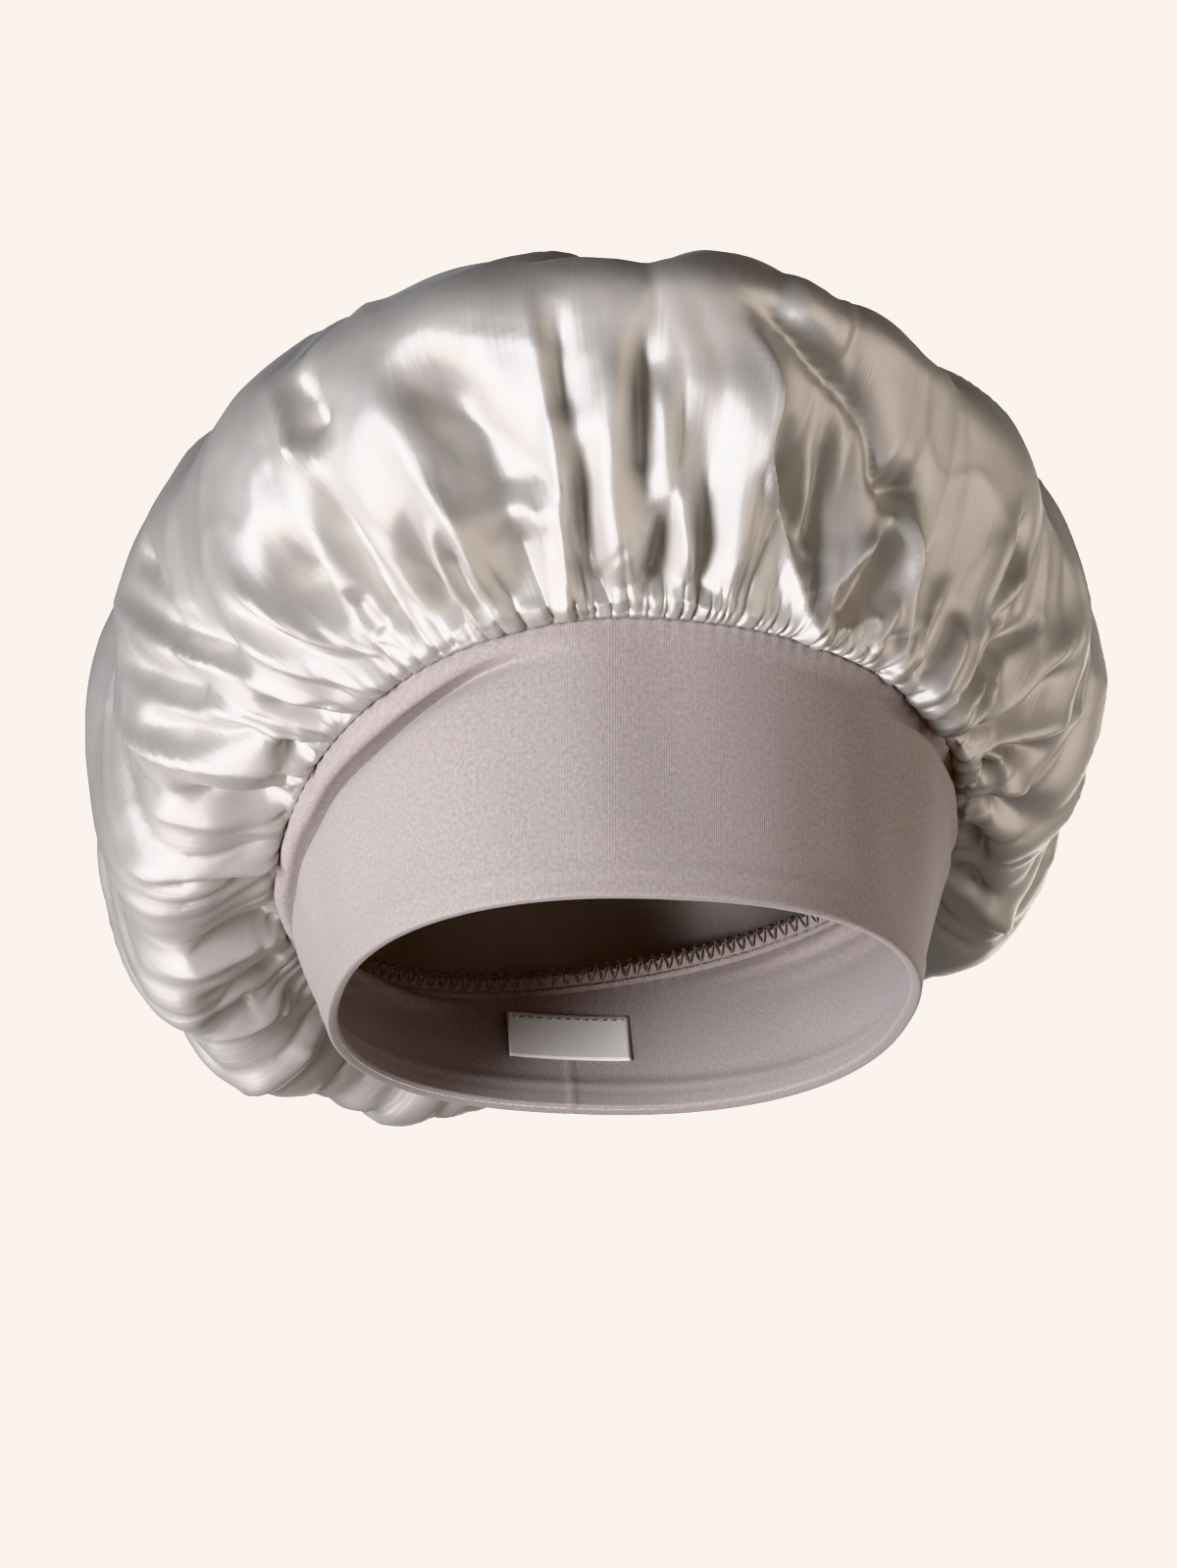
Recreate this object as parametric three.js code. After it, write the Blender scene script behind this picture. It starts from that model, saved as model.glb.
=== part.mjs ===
// Satin hair bonnet with a wide stretch band, in its worn, puffed shape.
// Millimetres, +Z up. The origin is the middle of the head opening, in the plane
// of the band's lower edge. The forehead side faces -Y and the wearer's left is +X.

import * as THREE from 'three';

// Head opening: the outer face of the band along its lower edge.
const openingHalfWidth = 76;
const openingHalfDepth = 95;
const openingSquarenessShare = 2.3;

// Band: one knit strip folded double, with the fold at its lower edge.
const knitThickness = 0.9;
const plyGap = 0.4;
const seamHeight = { front: 72.2, left: 57.8, back: 40.2, right: 45.8, diagonal: -4 };
const seamFlare = { front: 2, left: 12.5, back: 18, right: 12.5, diagonal: 0 };

// Tuck below the gather seam on both sides, where the band rolls over itself.
const tuckHeightShare = 0.93;
const rollHeightShare = 0.8;
const tuckDepth = 4;
const rollSwell = 2;
const tuckReachShares = { front: 0, left: 0.75, back: 0, right: 1, diagonal: 0 };

// Elastic tape loose in the fold.
const elasticHeight = 6;
const elasticThickness = 1;
const clearance = 0.3;

// Gather seam: the raw edges of the crown and the band stand inward and up.
const allowanceWidth = 7;
const allowanceAngle = 0.87;
const leastMitreShare = 0.7;
const satinThickness = 0.6;

// Sewing threads. A stitch is as long as one column of the cloth.
const threadRadius = 0.25;
const threadSides = 3;
const needleFromEdge = 3.7;
const looperFromEdge = 2.7;
const turnShares = [0.4, 0.5, 0.6];
const zigzagWidth = 3;
const zigzagPitch = 2.4;

// Blank label, sewn flat inside the back of the band.
const labelWidth = 34;
const labelHeight = 15;
const labelThickness = 0.4;
const labelDrop = 8;
const labelStationShares = [-1, -0.5, 0, 0.5, 1];

// Crown: widest ring, top, and how the cloth leaves the seam.
const puffHalfWidth = 134.5;
const puffHalfDepth = 133;
const puffSquarenessShare = 1.95;
const puffCentreX = -7.5;
const puffCentreY = 10.5;
const puffHeight = { front: 150, left: 97, back: 42.5, right: 94, diagonal: 4 };
const puffCornerFront = 5.2;
const puffCornerSide = -4.5;
const crownTopX = 8;
const crownTopY = 42;
const crownTopHeight = 184.3;
const droopAngle = { front: -0.16, left: 0.86, back: 0.83, right: 0.51, diagonal: 0.26 };
const fullnessShares = { front: 0.24, left: 0.59, back: 1.43, right: 0.84, diagonal: 0 };
const lobeReach = 18;
const lobeRise = 22;
const lobeReachShare = 0.55;
const lobeRiseShare = 0.62;
const domeRiseShare = 0.6;
const domeReachShare = 0.62;

// Main folds of the gathered crown.
const foldCount = 15;
const columnsPerFold = 4;
const columns = foldCount * columnsPerFold;
const foldDepth = 8.5;
const foldFullShareOfAll = 0.22;
const foldFadePowerShare = 6;
const foldDepthAtSeam = 1.2;
const ridgeRise = 2;
const lowSwell = 3.2;
const lowSwellEndShare = 0.45;
const foldDepthShares = { front: 0.45, left: 0.9, back: 1, right: 0.9, diagonal: 0 };
const foldSwayAngle = 0.1;
const wideDriftAngle = 0.05;
const narrowDriftAngle = 0.03;
const deepFoldShare = 0.2;
const oddFoldShare = 0.12;
const lobeShareOfAll = 0.35;
const lobeRowShares = [0, 0.2, 0.4, 0.6, 0.8];
const domeRowShares = [0, 0.28, 0.55, 0.8];

// A quantity round the head: its values at the front, the wearer's left, the back
// and the wearer's right, joined by two waves. Angle 0 is the front, a quarter turn +X.
function around(value, angle) {
  const mean = (value.front + value.left + value.back + value.right) / 4;
  const oval = (value.front + value.back - value.left - value.right) / 4;
  return mean
    + (value.front - value.back) / 2 * Math.cos(angle)
    + (value.left - value.right) / 2 * Math.sin(angle)
    + oval * Math.cos(2 * angle)
    + value.diagonal * Math.sin(2 * angle);
}

// A point of a rounded oval with the given half sizes.
function oval(halfWidth, halfDepth, squareness, angle) {
  const side = Math.abs(Math.sin(angle)) ** squareness;
  const front = Math.abs(Math.cos(angle)) ** squareness;
  const size = (side + front) ** (-1 / squareness);
  return new THREE.Vector2(halfWidth * Math.sin(angle) * size, -halfDepth * Math.cos(angle) * size);
}

// The direction that column number q of the cloth takes. The spacing of the
// gathers is uneven, so the columns crowd and spread by two small waves.
function columnAngle(column) {
  const even = 2 * Math.PI * column / columns;
  return even + wideDriftAngle * Math.sin(2 * even + 0.6) + narrowDriftAngle * Math.sin(5 * even + 2);
}

// A point set outward of the opening's oval by reach, at the given height.
function pointAt(angle, reach, height) {
  const foot = oval(openingHalfWidth, openingHalfDepth, openingSquarenessShare, angle);
  const out = foot.clone().normalize();
  return new THREE.Vector3(foot.x + out.x * reach, foot.y + out.y * reach, height);
}

// Joins rings of equally many points into one closed body. Looped rings join the
// last to the first; otherwise each end ring closes on an end point. Each face is cut
// along a diagonal, and on the first few rings, the turned ones, along the other one.
// So two walls of one cloth, whose rings run opposite ways, are cut alike.
function skin(rings, ends, turned = 0) {
  const count = rings[0].length;
  const points = rings.flat();
  const faces = [];
  const last = ends ? rings.length - 1 : rings.length;
  for (let ring = 0; ring < last; ring += 1) {
    const here = ring * count;
    const there = ((ring + 1) % rings.length) * count;
    for (let i = 0; i < count; i += 1) {
      const next = (i + 1) % count;
      if (ring < turned - 1) {
        faces.push(here + i, there + i, here + next, there + i, there + next, here + next);
      } else {
        faces.push(here + i, there + i, there + next, here + i, there + next, here + next);
      }
    }
  }
  if (ends) {
    const first = points.push(ends[0]) - 1;
    const final = points.push(ends[1]) - 1;
    const top = (rings.length - 1) * count;
    for (let i = 0; i < count; i += 1) {
      const next = (i + 1) % count;
      faces.push(first, i, next, final, top + next, top + i);
    }
  }
  let volume = 0;
  for (let i = 0; i < faces.length; i += 3) {
    const [a, b, c] = [points[faces[i]], points[faces[i + 1]], points[faces[i + 2]]];
    volume += a.dot(b.clone().cross(c));
  }
  if (volume < 0) faces.reverse();
  const geometry = new THREE.BufferGeometry();
  const places = points.flatMap((point) => point.toArray());
  geometry.setAttribute('position', new THREE.Float32BufferAttribute(places, 3));
  geometry.setIndex(faces);
  geometry.computeVertexNormals();
  return geometry;
}

// A thread along a path: a thin tube whose section is carried without twisting.
// A looped path meets itself, so what twist is left is spread along it.
function thread(path, looped) {
  const count = path.length;
  const tangents = path.map((point, i) => {
    const before = looped ? path[(i + count - 1) % count] : path[Math.max(i - 1, 0)];
    const after = looped ? path[(i + 1) % count] : path[Math.min(i + 1, count - 1)];
    return after.clone().sub(before).normalize();
  });
  const carry = (normal, tangent) => (
    normal.clone().addScaledVector(tangent, -normal.dot(tangent)).normalize()
  );
  const normals = [carry(new THREE.Vector3(0, 0, 1), tangents[0])];
  for (let i = 1; i < count; i += 1) normals.push(carry(normals[i - 1], tangents[i]));
  let twist = 0;
  if (looped) {
    const closing = carry(normals[count - 1], tangents[0]);
    const side = tangents[0].clone().cross(closing);
    twist = Math.atan2(normals[0].dot(side), normals[0].dot(closing));
  }
  const rings = path.map((point, i) => {
    const normal = normals[i].clone().applyAxisAngle(tangents[i], twist * i / count);
    const side = tangents[i].clone().cross(normal);
    return Array.from({ length: threadSides }, (_, k) => {
      const turn = 2 * Math.PI * k / threadSides;
      return point.clone()
        .addScaledVector(normal, threadRadius * Math.cos(turn))
        .addScaledVector(side, threadRadius * Math.sin(turn));
    });
  });
  return skin(rings, looped ? null : [path[0], path[count - 1]]);
}

// The outer face of the band at one angle, as places in its upright section:
// x is the reach outward, y the height. It ends with the raw edge inside.
function bandFace(angle) {
  const height = around(seamHeight, angle);
  const flare = around(seamFlare, angle);
  const tuck = Math.max(0, around(tuckReachShares, angle));
  const channel = knitThickness + 2 * clearance + elasticHeight;
  const at = (share, swell) => new THREE.Vector2(flare * share + swell, height * share);
  const seam = at(1, 0);
  const edge = new THREE.Vector2(
    seam.x - allowanceWidth * Math.cos(allowanceAngle),
    seam.y + allowanceWidth * Math.sin(allowanceAngle),
  );
  return [
    at(knitThickness / height, 0),
    at(channel / height, 0),
    at(rollHeightShare, rollSwell * tuck),
    at(tuckHeightShare, -tuckDepth * tuck),
    seam,
    edge,
  ];
}

// A section line moved inward by the given depth at each of its points. Its foot
// moves level, so that the fold's floor stays flat.
function inset(line, depths) {
  const sides = line.slice(1).map((point, i) => {
    const run = point.clone().sub(line[i]).normalize();
    return new THREE.Vector2(-run.y, run.x);
  });
  return line.map((point, i) => {
    if (i === 0) return new THREE.Vector2(point.x - depths[i], point.y);
    const before = sides[i - 1];
    const after = sides[Math.min(i, sides.length - 1)];
    const lean = before.clone().add(after).normalize();
    const stretch = 1 / Math.max(lean.dot(before), leastMitreShare);
    return point.clone().addScaledVector(lean, depths[i] * stretch);
  });
}

// Depths below the band's outer face at the points of bandFace.
const channelGap = elasticThickness + 2 * clearance;
const gaps = [channelGap, channelGap, plyGap, plyGap, plyGap, plyGap];
const outerPly = gaps.map(() => knitThickness);
const innerPlyFront = gaps.map((gap) => gap + knitThickness);
const innerPlyBack = innerPlyFront.map((depth) => depth + knitThickness);

// The band's closed section at one angle: up the outer face, over its raw edge,
// down between the two plies, up again, and down the face against the head.
function bandSection(angle) {
  const face = bandFace(angle);
  const foot = knitThickness;
  const back = inset(face, innerPlyBack);
  const between = inset(face, outerPly);
  const behind = inset(face, innerPlyFront);
  return [
    new THREE.Vector2(face[0].x - foot, 0),
    ...face,
    ...between.reverse(),
    ...behind,
    ...back.slice().reverse(),
    new THREE.Vector2(back[0].x + foot, 0),
  ];
}

// Carries a section round the head, one ring for each of its points.
function carriedSection(section) {
  const sections = Array.from({ length: columns }, (_, column) => {
    const angle = columnAngle(column);
    return section(angle).map((point) => pointAt(angle, point.x, point.y));
  });
  return sections[0].map((_, k) => sections.map((points) => points[k]));
}

function bandGeometry() {
  return skin(carriedSection(bandSection), null);
}

// Elastic tape standing in the channel between the two plies.
function elasticGeometry() {
  return skin(carriedSection((angle) => {
    const face = bandFace(angle).slice(0, 2);
    const outer = inset(face, [knitThickness + clearance, knitThickness + clearance]);
    const low = knitThickness + clearance;
    const slope = (outer[1].x - outer[0].x) / (outer[1].y - outer[0].y);
    const at = (height, depth) => (
      new THREE.Vector2(outer[0].x + slope * (height - outer[0].y) - depth, height)
    );
    return [
      at(low, 0),
      at(low + elasticHeight, 0),
      at(low + elasticHeight, elasticThickness),
      at(low, elasticThickness),
    ];
  }), null);
}

// A point on the stack of raw edges: along is the way in from the seam line, and
// above the height over the band's outer face there.
function onAllowance(column, along, above) {
  const place = (whole) => {
    const angle = columnAngle(whole);
    const seam = bandFace(angle)[4];
    return pointAt(
      angle,
      seam.x - along * Math.cos(allowanceAngle) + above * Math.sin(allowanceAngle),
      seam.y + along * Math.sin(allowanceAngle) + above * Math.cos(allowanceAngle),
    );
  };
  const whole = Math.floor(column);
  return place(whole).lerp(place(whole + 1), column - whole);
}

const stackTop = clearance + satinThickness;
const stackBottom = -innerPlyBack[4];
const standOff = clearance + threadRadius;
const edgeMiddle = (stackTop + stackBottom) / 2;

// One looper thread of the overlocked edge: a zigzag from the seam to past the
// raw edge, where it turns round the edge to meet the other looper thread.
function looperThread(face, edgeLevel) {
  const past = allowanceWidth + standOff;
  const path = [];
  for (let column = 0; column < columns; column += 1) {
    path.push(
      onAllowance(column, allowanceWidth - looperFromEdge, face),
      onAllowance(column + turnShares[0], past, face),
      onAllowance(column + turnShares[1], past, edgeLevel),
      onAllowance(column + turnShares[2], past, face),
    );
  }
  return thread(path, true);
}

// The needle thread, on the side of the head, close along the seam line.
function needleThread() {
  const path = Array.from({ length: columns }, (_, column) => (
    onAllowance(column, allowanceWidth - needleFromEdge, stackBottom - standOff)
  ));
  return thread(path, true);
}

// Zigzag stitches over the join of the band's ends, on its outer face at the back.
function joinThread() {
  const height = around(seamHeight, Math.PI);
  const flare = around(seamFlare, Math.PI);
  const low = knitThickness + zigzagPitch;
  const high = height * rollHeightShare;
  const steps = Math.round((high - low) / (zigzagPitch / 2));
  const foot = oval(openingHalfWidth, openingHalfDepth, openingSquarenessShare, Math.PI);
  const path = Array.from({ length: steps + 1 }, (_, i) => {
    const level = low + (high - low) * i / steps;
    const side = (i % 2 === 0 ? -1 : 1) * zigzagWidth / 2;
    return new THREE.Vector3(side, foot.y + flare * level / height + standOff, level);
  });
  return thread(path, false);
}

// The blank label, laid on the face against the head at the middle of the back.
function labelGeometry() {
  const middle = columns / 2;
  const line = (whole) => inset(bandFace(columnAngle(whole)), innerPlyBack);
  const onHeadFace = (column, level, depth) => {
    const place = (whole) => {
      const [, low, high] = line(whole);
      const slope = (high.x - low.x) / (high.y - low.y);
      return pointAt(columnAngle(whole), low.x + slope * (level - low.y) - depth, level);
    };
    const whole = Math.floor(column);
    return place(whole).lerp(place(whole + 1), column - whole);
  };
  const top = around(seamHeight, Math.PI) - labelDrop;
  const columnWidth = onHeadFace(middle, top, 0).distanceTo(onHeadFace(middle + 1, top, 0));
  const half = labelWidth / 2 / columnWidth;
  const near = clearance;
  const far = clearance + labelThickness;
  const low = top - labelHeight;
  const corners = [[top, near], [low, near], [low, far], [top, far]];
  const rings = labelStationShares.map((share) => (
    corners.map(([level, depth]) => onHeadFace(middle + half * share, level, depth))
  ));
  const centre = (ring) => ring[0].clone().lerp(ring[2], 0.5);
  return skin(rings, [centre(rings[0]), centre(rings[rings.length - 1])]);
}

// How far into a valley column q lies, from 0 on a ridge to 1, times how deep that
// fold runs beside its neighbours.
function foldValley(column) {
  const even = 2 * Math.PI * column / columns;
  const valley = (1 - Math.cos(foldCount * even)) / 2;
  return valley * (1 + deepFoldShare * Math.sin(3 * even + 0.5) + oddFoldShare * Math.sin(7 * even + 1.3));
}

// The folds' depth along a meridian: shallow at the seam, full a little above it,
// and gone at the top. Share runs from 0 at the seam to 1 at the top. The folds are
// shallower at the front.
function foldDepthAlong(share, angle) {
  const rise = Math.min(share / foldFullShareOfAll, 1);
  const past = Math.max(share - foldFullShareOfAll, 0) / (1 - foldFullShareOfAll);
  const fade = Math.cos(past * Math.PI / 2) ** foldFadePowerShare;
  const full = (foldDepth - foldDepthAtSeam) * around(foldDepthShares, angle);
  return (foldDepthAtSeam + full * rise) * fade;
}

// How far the ridges between the folds stand out of the smooth puff. The puff's
// lower half hangs out a little further at the sides and the back.
function ridgeAlong(share, angle) {
  const low = Math.sin(Math.PI * Math.min(share / lowSwellEndShare, 1));
  const rise = Math.min(share / foldFullShareOfAll, 1);
  return ridgeRise * rise + lowSwell * low * (1 - Math.cos(angle)) / 2;
}

// A point of the puffed cloth without its folds. From the seam a curve leaves at the
// droop angle and swells to the widest ring, and a second one closes over the top.
function puffPoint(angle, lobe, dome) {
  const direction = new THREE.Vector3(Math.sin(angle), -Math.cos(angle), 0);
  const seamSection = bandFace(angle)[4];
  const seam = pointAt(
    angle,
    seamSection.x + clearance * Math.sin(allowanceAngle),
    seamSection.y + clearance * Math.cos(allowanceAngle),
  );
  const ring = oval(puffHalfWidth, puffHalfDepth, puffSquarenessShare, angle);
  const corner = puffCornerFront * Math.cos(3 * angle) + puffCornerSide * Math.sin(3 * angle);
  ring.setLength(ring.length() + corner);
  const widest = new THREE.Vector3(puffCentreX + ring.x, puffCentreY + ring.y, around(puffHeight, angle));
  const top = new THREE.Vector3(crownTopX, crownTopY, crownTopHeight);
  if (dome > 0) {
    const rise = widest.clone();
    rise.z += domeRiseShare * (top.z - widest.z);
    const reach = top.clone().lerp(widest, domeReachShare).setZ(top.z);
    return new THREE.CubicBezierCurve3(widest, rise, reach, top).getPoint(dome);
  }
  const fullness = around(fullnessShares, angle);
  const droop = around(droopAngle, angle);
  const gap = Math.hypot(widest.x - seam.x, widest.y - seam.y);
  const out = (lobeReachShare * gap + lobeReach) * fullness;
  const down = (lobeRiseShare * Math.abs(widest.z - seam.z) + lobeRise) * fullness;
  const leave = seam.clone().addScaledVector(direction, out * Math.cos(droop));
  leave.z -= out * Math.sin(droop);
  const arrive = widest.clone();
  arrive.z -= down;
  return new THREE.CubicBezierCurve3(seam, leave, arrive, widest).getPoint(lobe);
}

// Rows of the crown from its raw edge to near the top, each with its share of
// the way from the seam to the top, and whether it lies on the raw edge.
const crownRows = [
  { edge: true, share: 0 },
  ...lobeRowShares.map((lobe) => ({ lobe, dome: 0, share: lobe * lobeShareOfAll })),
  ...domeRowShares.map((dome) => (
    { lobe: 1, dome, share: lobeShareOfAll + dome * (1 - lobeShareOfAll) }
  )),
];

// The crown panel: the rows with their folds, and the same rows one cloth
// thickness further in, joined at the raw edge.
function crownGeometry() {
  const smooth = (column, row) => {
    if (row.edge) return onAllowance(column, allowanceWidth, clearance);
    const even = 2 * Math.PI * column / columns;
    const sway = foldSwayAngle * Math.sin(2 * even + 0.8) * row.share * (1 - row.share) * 4;
    return puffPoint(columnAngle(column) + sway, row.lobe, row.dome);
  };
  const normalAt = (grid, row, column) => {
    const up = grid[Math.min(row + 1, grid.length - 1)][column];
    const down = grid[Math.max(row - 1, 0)][column];
    const next = grid[row][(column + 1) % columns];
    const before = grid[row][(column + columns - 1) % columns];
    return next.clone().sub(before).cross(up.clone().sub(down)).normalize();
  };
  const base = crownRows.map((row) => Array.from({ length: columns }, (_, column) => smooth(column, row)));
  const outer = base.map((ring, r) => ring.map((point, column) => {
    if (crownRows[r].edge || crownRows[r].share === 0) return point;
    const { share } = crownRows[r];
    const angle = columnAngle(column);
    const depth = foldValley(column) * foldDepthAlong(share, angle);
    return point.clone().addScaledVector(normalAt(base, r, column), ridgeAlong(share, angle) - depth);
  }));
  const inner = outer.map((ring, r) => ring.map((point, column) => (
    point.clone().addScaledVector(normalAt(outer, r, column), -satinThickness)
  )));
  const top = new THREE.Vector3(crownTopX, crownTopY, crownTopHeight);
  const under = top.clone().setZ(crownTopHeight - satinThickness);
  return skin([...outer.slice().reverse(), ...inner], [top, under], outer.length);
}

function cloth(colour, roughness) {
  return new THREE.MeshStandardMaterial({ color: colour, roughness, metalness: 0 });
}

const satin = cloth(0xc2bab6, 0.35);
const knit = cloth(0xaca29f, 0.85);
const elastic = cloth(0xe4e1dc, 0.8);
const sewing = cloth(0xa79d99, 0.6);
const label = cloth(0xf2f0ec, 0.5);

const pieces = [
  ['crown_panel', crownGeometry(), satin],
  ['band', bandGeometry(), knit],
  ['hem_elastic', elasticGeometry(), elastic],
  ['gather_seam_needle_thread', needleThread(), sewing],
  ['gather_seam_upper_looper_thread', looperThread(stackTop + standOff, edgeMiddle + standOff), sewing],
  ['gather_seam_lower_looper_thread', looperThread(stackBottom - standOff, edgeMiddle - standOff), sewing],
  ['band_join_thread', joinThread(), sewing],
  ['care_label', labelGeometry(), label],
];

const bonnet = new THREE.Group();
for (const [name, geometry, material] of pieces) {
  const mesh = new THREE.Mesh(geometry, material);
  mesh.name = name;
  bonnet.add(mesh);
}

export default bonnet;
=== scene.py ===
"""A satin hair bonnet with a wide stretch band, in its worn, puffed shape.

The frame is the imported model: metres, +Z up, the forehead side towards -Y and the
wearer's left towards +X. The origin is the middle of the head opening, in the plane of
the band's lower edge. Sizes in this file are millimetres unless a name says otherwise,
and they are turned into metres where a mesh is made.
"""

import logging
import math
from dataclasses import dataclass, field
from enum import Enum

import bpy
import numpy as np
from mathutils import Matrix


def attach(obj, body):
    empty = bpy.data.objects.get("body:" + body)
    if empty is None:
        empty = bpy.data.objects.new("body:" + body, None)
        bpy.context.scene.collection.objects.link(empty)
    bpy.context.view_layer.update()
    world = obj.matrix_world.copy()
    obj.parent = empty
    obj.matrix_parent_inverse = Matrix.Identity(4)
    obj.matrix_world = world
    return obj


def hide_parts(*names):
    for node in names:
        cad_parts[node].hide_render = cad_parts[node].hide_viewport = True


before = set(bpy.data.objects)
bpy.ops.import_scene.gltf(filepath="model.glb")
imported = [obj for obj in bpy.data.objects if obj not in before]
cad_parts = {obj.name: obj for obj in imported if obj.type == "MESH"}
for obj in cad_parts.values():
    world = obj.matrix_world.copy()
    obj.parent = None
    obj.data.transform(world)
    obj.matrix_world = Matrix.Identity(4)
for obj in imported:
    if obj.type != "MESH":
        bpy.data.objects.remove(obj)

log = logging.getLogger("bonnet")

MM = 0.001
TURN = 2.0 * math.pi
# Blender's wave texture takes the sine of this many times the scaled place.
WAVE_RATE = 20

Array = np.ndarray
Piece = bpy.types.Object
Tree = bpy.types.NodeTree
Socket = bpy.types.NodeSocket
Span = tuple[float, float]


@dataclass(frozen=True)
class Round:
    """A quantity round the head: its values at four sides, joined by two waves."""

    front: float
    left: float
    back: float
    right: float
    diagonal: float = 0.0

    def at(self, angle: Array) -> Array:
        """Returns the quantity at an angle from the front, positive to the wearer's left.

        It is the mean, one wave between opposite sides, and one between neighbours.

        Args:
            angle: Angles in radians.

        Returns:
            The values, in the shape of angle.
        """
        mean = (self.front + self.left + self.back + self.right) / 4
        oval = (self.front + self.back - self.left - self.right) / 4
        return (
            mean
            + (self.front - self.back) / 2 * np.cos(angle)
            + (self.left - self.right) / 2 * np.sin(angle)
            + oval * np.cos(2 * angle)
            + self.diagonal * np.sin(2 * angle)
        )


def rounded_oval(half_width: float, half_depth: float, squareness: float, angle: Array) -> Array:
    """Returns points of a rounded oval, whose front is towards -Y.

    The point at an angle is (a sin, -b cos), scaled so that the powers of its sine and
    cosine sum to one.

    Args:
        half_width: Half size along X.
        half_depth: Half size along Y.
        squareness: The power; 2 gives an ellipse, and more gives fuller corners.
        angle: Angles in radians.

    Returns:
        An array with one more axis of length 2.
    """
    size = (np.abs(np.sin(angle)) ** squareness + np.abs(np.cos(angle)) ** squareness) ** (-1 / squareness)
    return np.stack([half_width * np.sin(angle) * size, -half_depth * np.cos(angle) * size], axis=-1)


def unit(vectors: Array) -> Array:
    """Returns the vectors at length one."""
    return vectors / np.maximum(np.linalg.norm(vectors, axis=-1, keepdims=True), 1e-9)


def smooth_step(value: Array, low: float, high: float) -> Array:
    """Returns 0 below low and 1 above high, with a smooth S between them."""
    share = np.clip((value - low) / (high - low), 0.0, 1.0)
    return share * share * (3 - 2 * share)


def turn_between(start: Array, end: Array) -> Array:
    """Returns the shorter turns from some angles to others, in radians."""
    return (end - start + math.pi) % TURN - math.pi


def ripples(points: Array, wavelength: float, seed: int) -> Array:
    """Returns a smooth random field: 14 plane waves of one length in random directions.

    Args:
        points: Places, in millimetres, with a last axis of length 3.
        wavelength: Length of each wave.
        seed: Seed of the directions and phases.

    Returns:
        Values that are mostly between -1.5 and 1.5.
    """
    rng = np.random.default_rng(seed)
    directions = unit(rng.normal(size=(14, 3)))
    phases = rng.uniform(0, TURN, 14)
    waves = np.sin(points @ directions.T * (TURN / wavelength) + phases)
    return waves.sum(axis=-1) / math.sqrt(7)


def curve_through(controls: Array, steps: int) -> Array:
    """Carries a smooth curve through control points, by the Catmull-Rom rule.

    Between two control points the curve is the cubic whose slope at each of them is half
    the step from the point before it to the point after it.

    Args:
        controls: Control points, along the axis before the last.
        steps: Steps from each control point to the next.

    Returns:
        The curve's points, along the same axis.
    """
    before = np.concatenate([controls[..., :1, :], controls[..., :-1, :]], axis=-2)
    after = np.concatenate([controls[..., 1:, :], controls[..., -1:, :]], axis=-2)
    slopes = (after - before) / 2
    share = (np.arange(steps) / steps)[:, None]
    start, end = controls[..., :-1, None, :], controls[..., 1:, None, :]
    leave, arrive = slopes[..., :-1, None, :], slopes[..., 1:, None, :]
    points = (
        start * (2 * share**3 - 3 * share**2 + 1)
        + leave * (share**3 - 2 * share**2 + share)
        + end * (3 * share**2 - 2 * share**3)
        + arrive * (share**3 - share**2)
    )
    points = points.reshape(*controls.shape[:-2], -1, controls.shape[-1])
    return np.concatenate([points, controls[..., -1:, :]], axis=-2)


def cubic(a: Array, b: Array, c: Array, d: Array, share: Array) -> Array:
    """Returns points of the cubic curve that leaves a towards b and reaches d from c."""
    s = share[..., None]
    return a * (1 - s) ** 3 + 3 * b * s * (1 - s) ** 2 + 3 * c * s**2 * (1 - s) + d * s**3


def srgb(code: str) -> tuple[float, float, float, float]:
    """Turns a colour's sRGB hex code into the linear colour that a shader takes."""
    parts = [int(code[i : i + 2], 16) / 255 for i in (0, 2, 4)]
    linear = [p / 12.92 if p <= 0.04045 else ((p + 0.055) / 1.055) ** 2.4 for p in parts]
    return (linear[0], linear[1], linear[2], 1.0)


def linked(name: str, data: bpy.types.ID) -> Piece:
    """Returns a new object with its data, linked to the scene."""
    piece = bpy.data.objects.new(name, data)
    bpy.context.scene.collection.objects.link(piece)
    return piece


def pose(right: Array, up: Array, back: Array, place: Array) -> Matrix:
    """Returns the pose of a camera or a lamp, which look against their back axis."""
    axes = np.eye(4)
    axes[:3] = np.stack([right, up, back, place], axis=1)
    return Matrix(axes.tolist())


def smoothed(mesh: bpy.types.Mesh) -> None:
    """Shades a whole mesh smooth."""
    mesh.polygons.foreach_set("use_smooth", np.ones(len(mesh.polygons), dtype=bool))


def mesh_piece(name: str, points: Array, corners: list[Array], uv: list[Array]) -> Piece:
    """Makes a piece from points and faces, and links it to the scene.

    Args:
        name: Name of the piece.
        points: Points in millimetres.
        corners: Arrays of faces, each with one row of point numbers for each face.
        uv: The places of the same corners on the flat cloth, in millimetres.

    Returns:
        The new object, at the origin, shaded smooth.
    """
    mesh = bpy.data.meshes.new(name)
    mesh.from_pydata((points * MM).tolist(), [], [face for group in corners for face in group.tolist()])
    layer = mesh.uv_layers.new(name="cloth")
    flat = np.concatenate([group.reshape(-1, 2) for group in uv])
    layer.data.foreach_set("uv", flat.astype(np.float32).ravel())
    smoothed(mesh)
    mesh.update()
    return linked(name, mesh)


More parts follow.
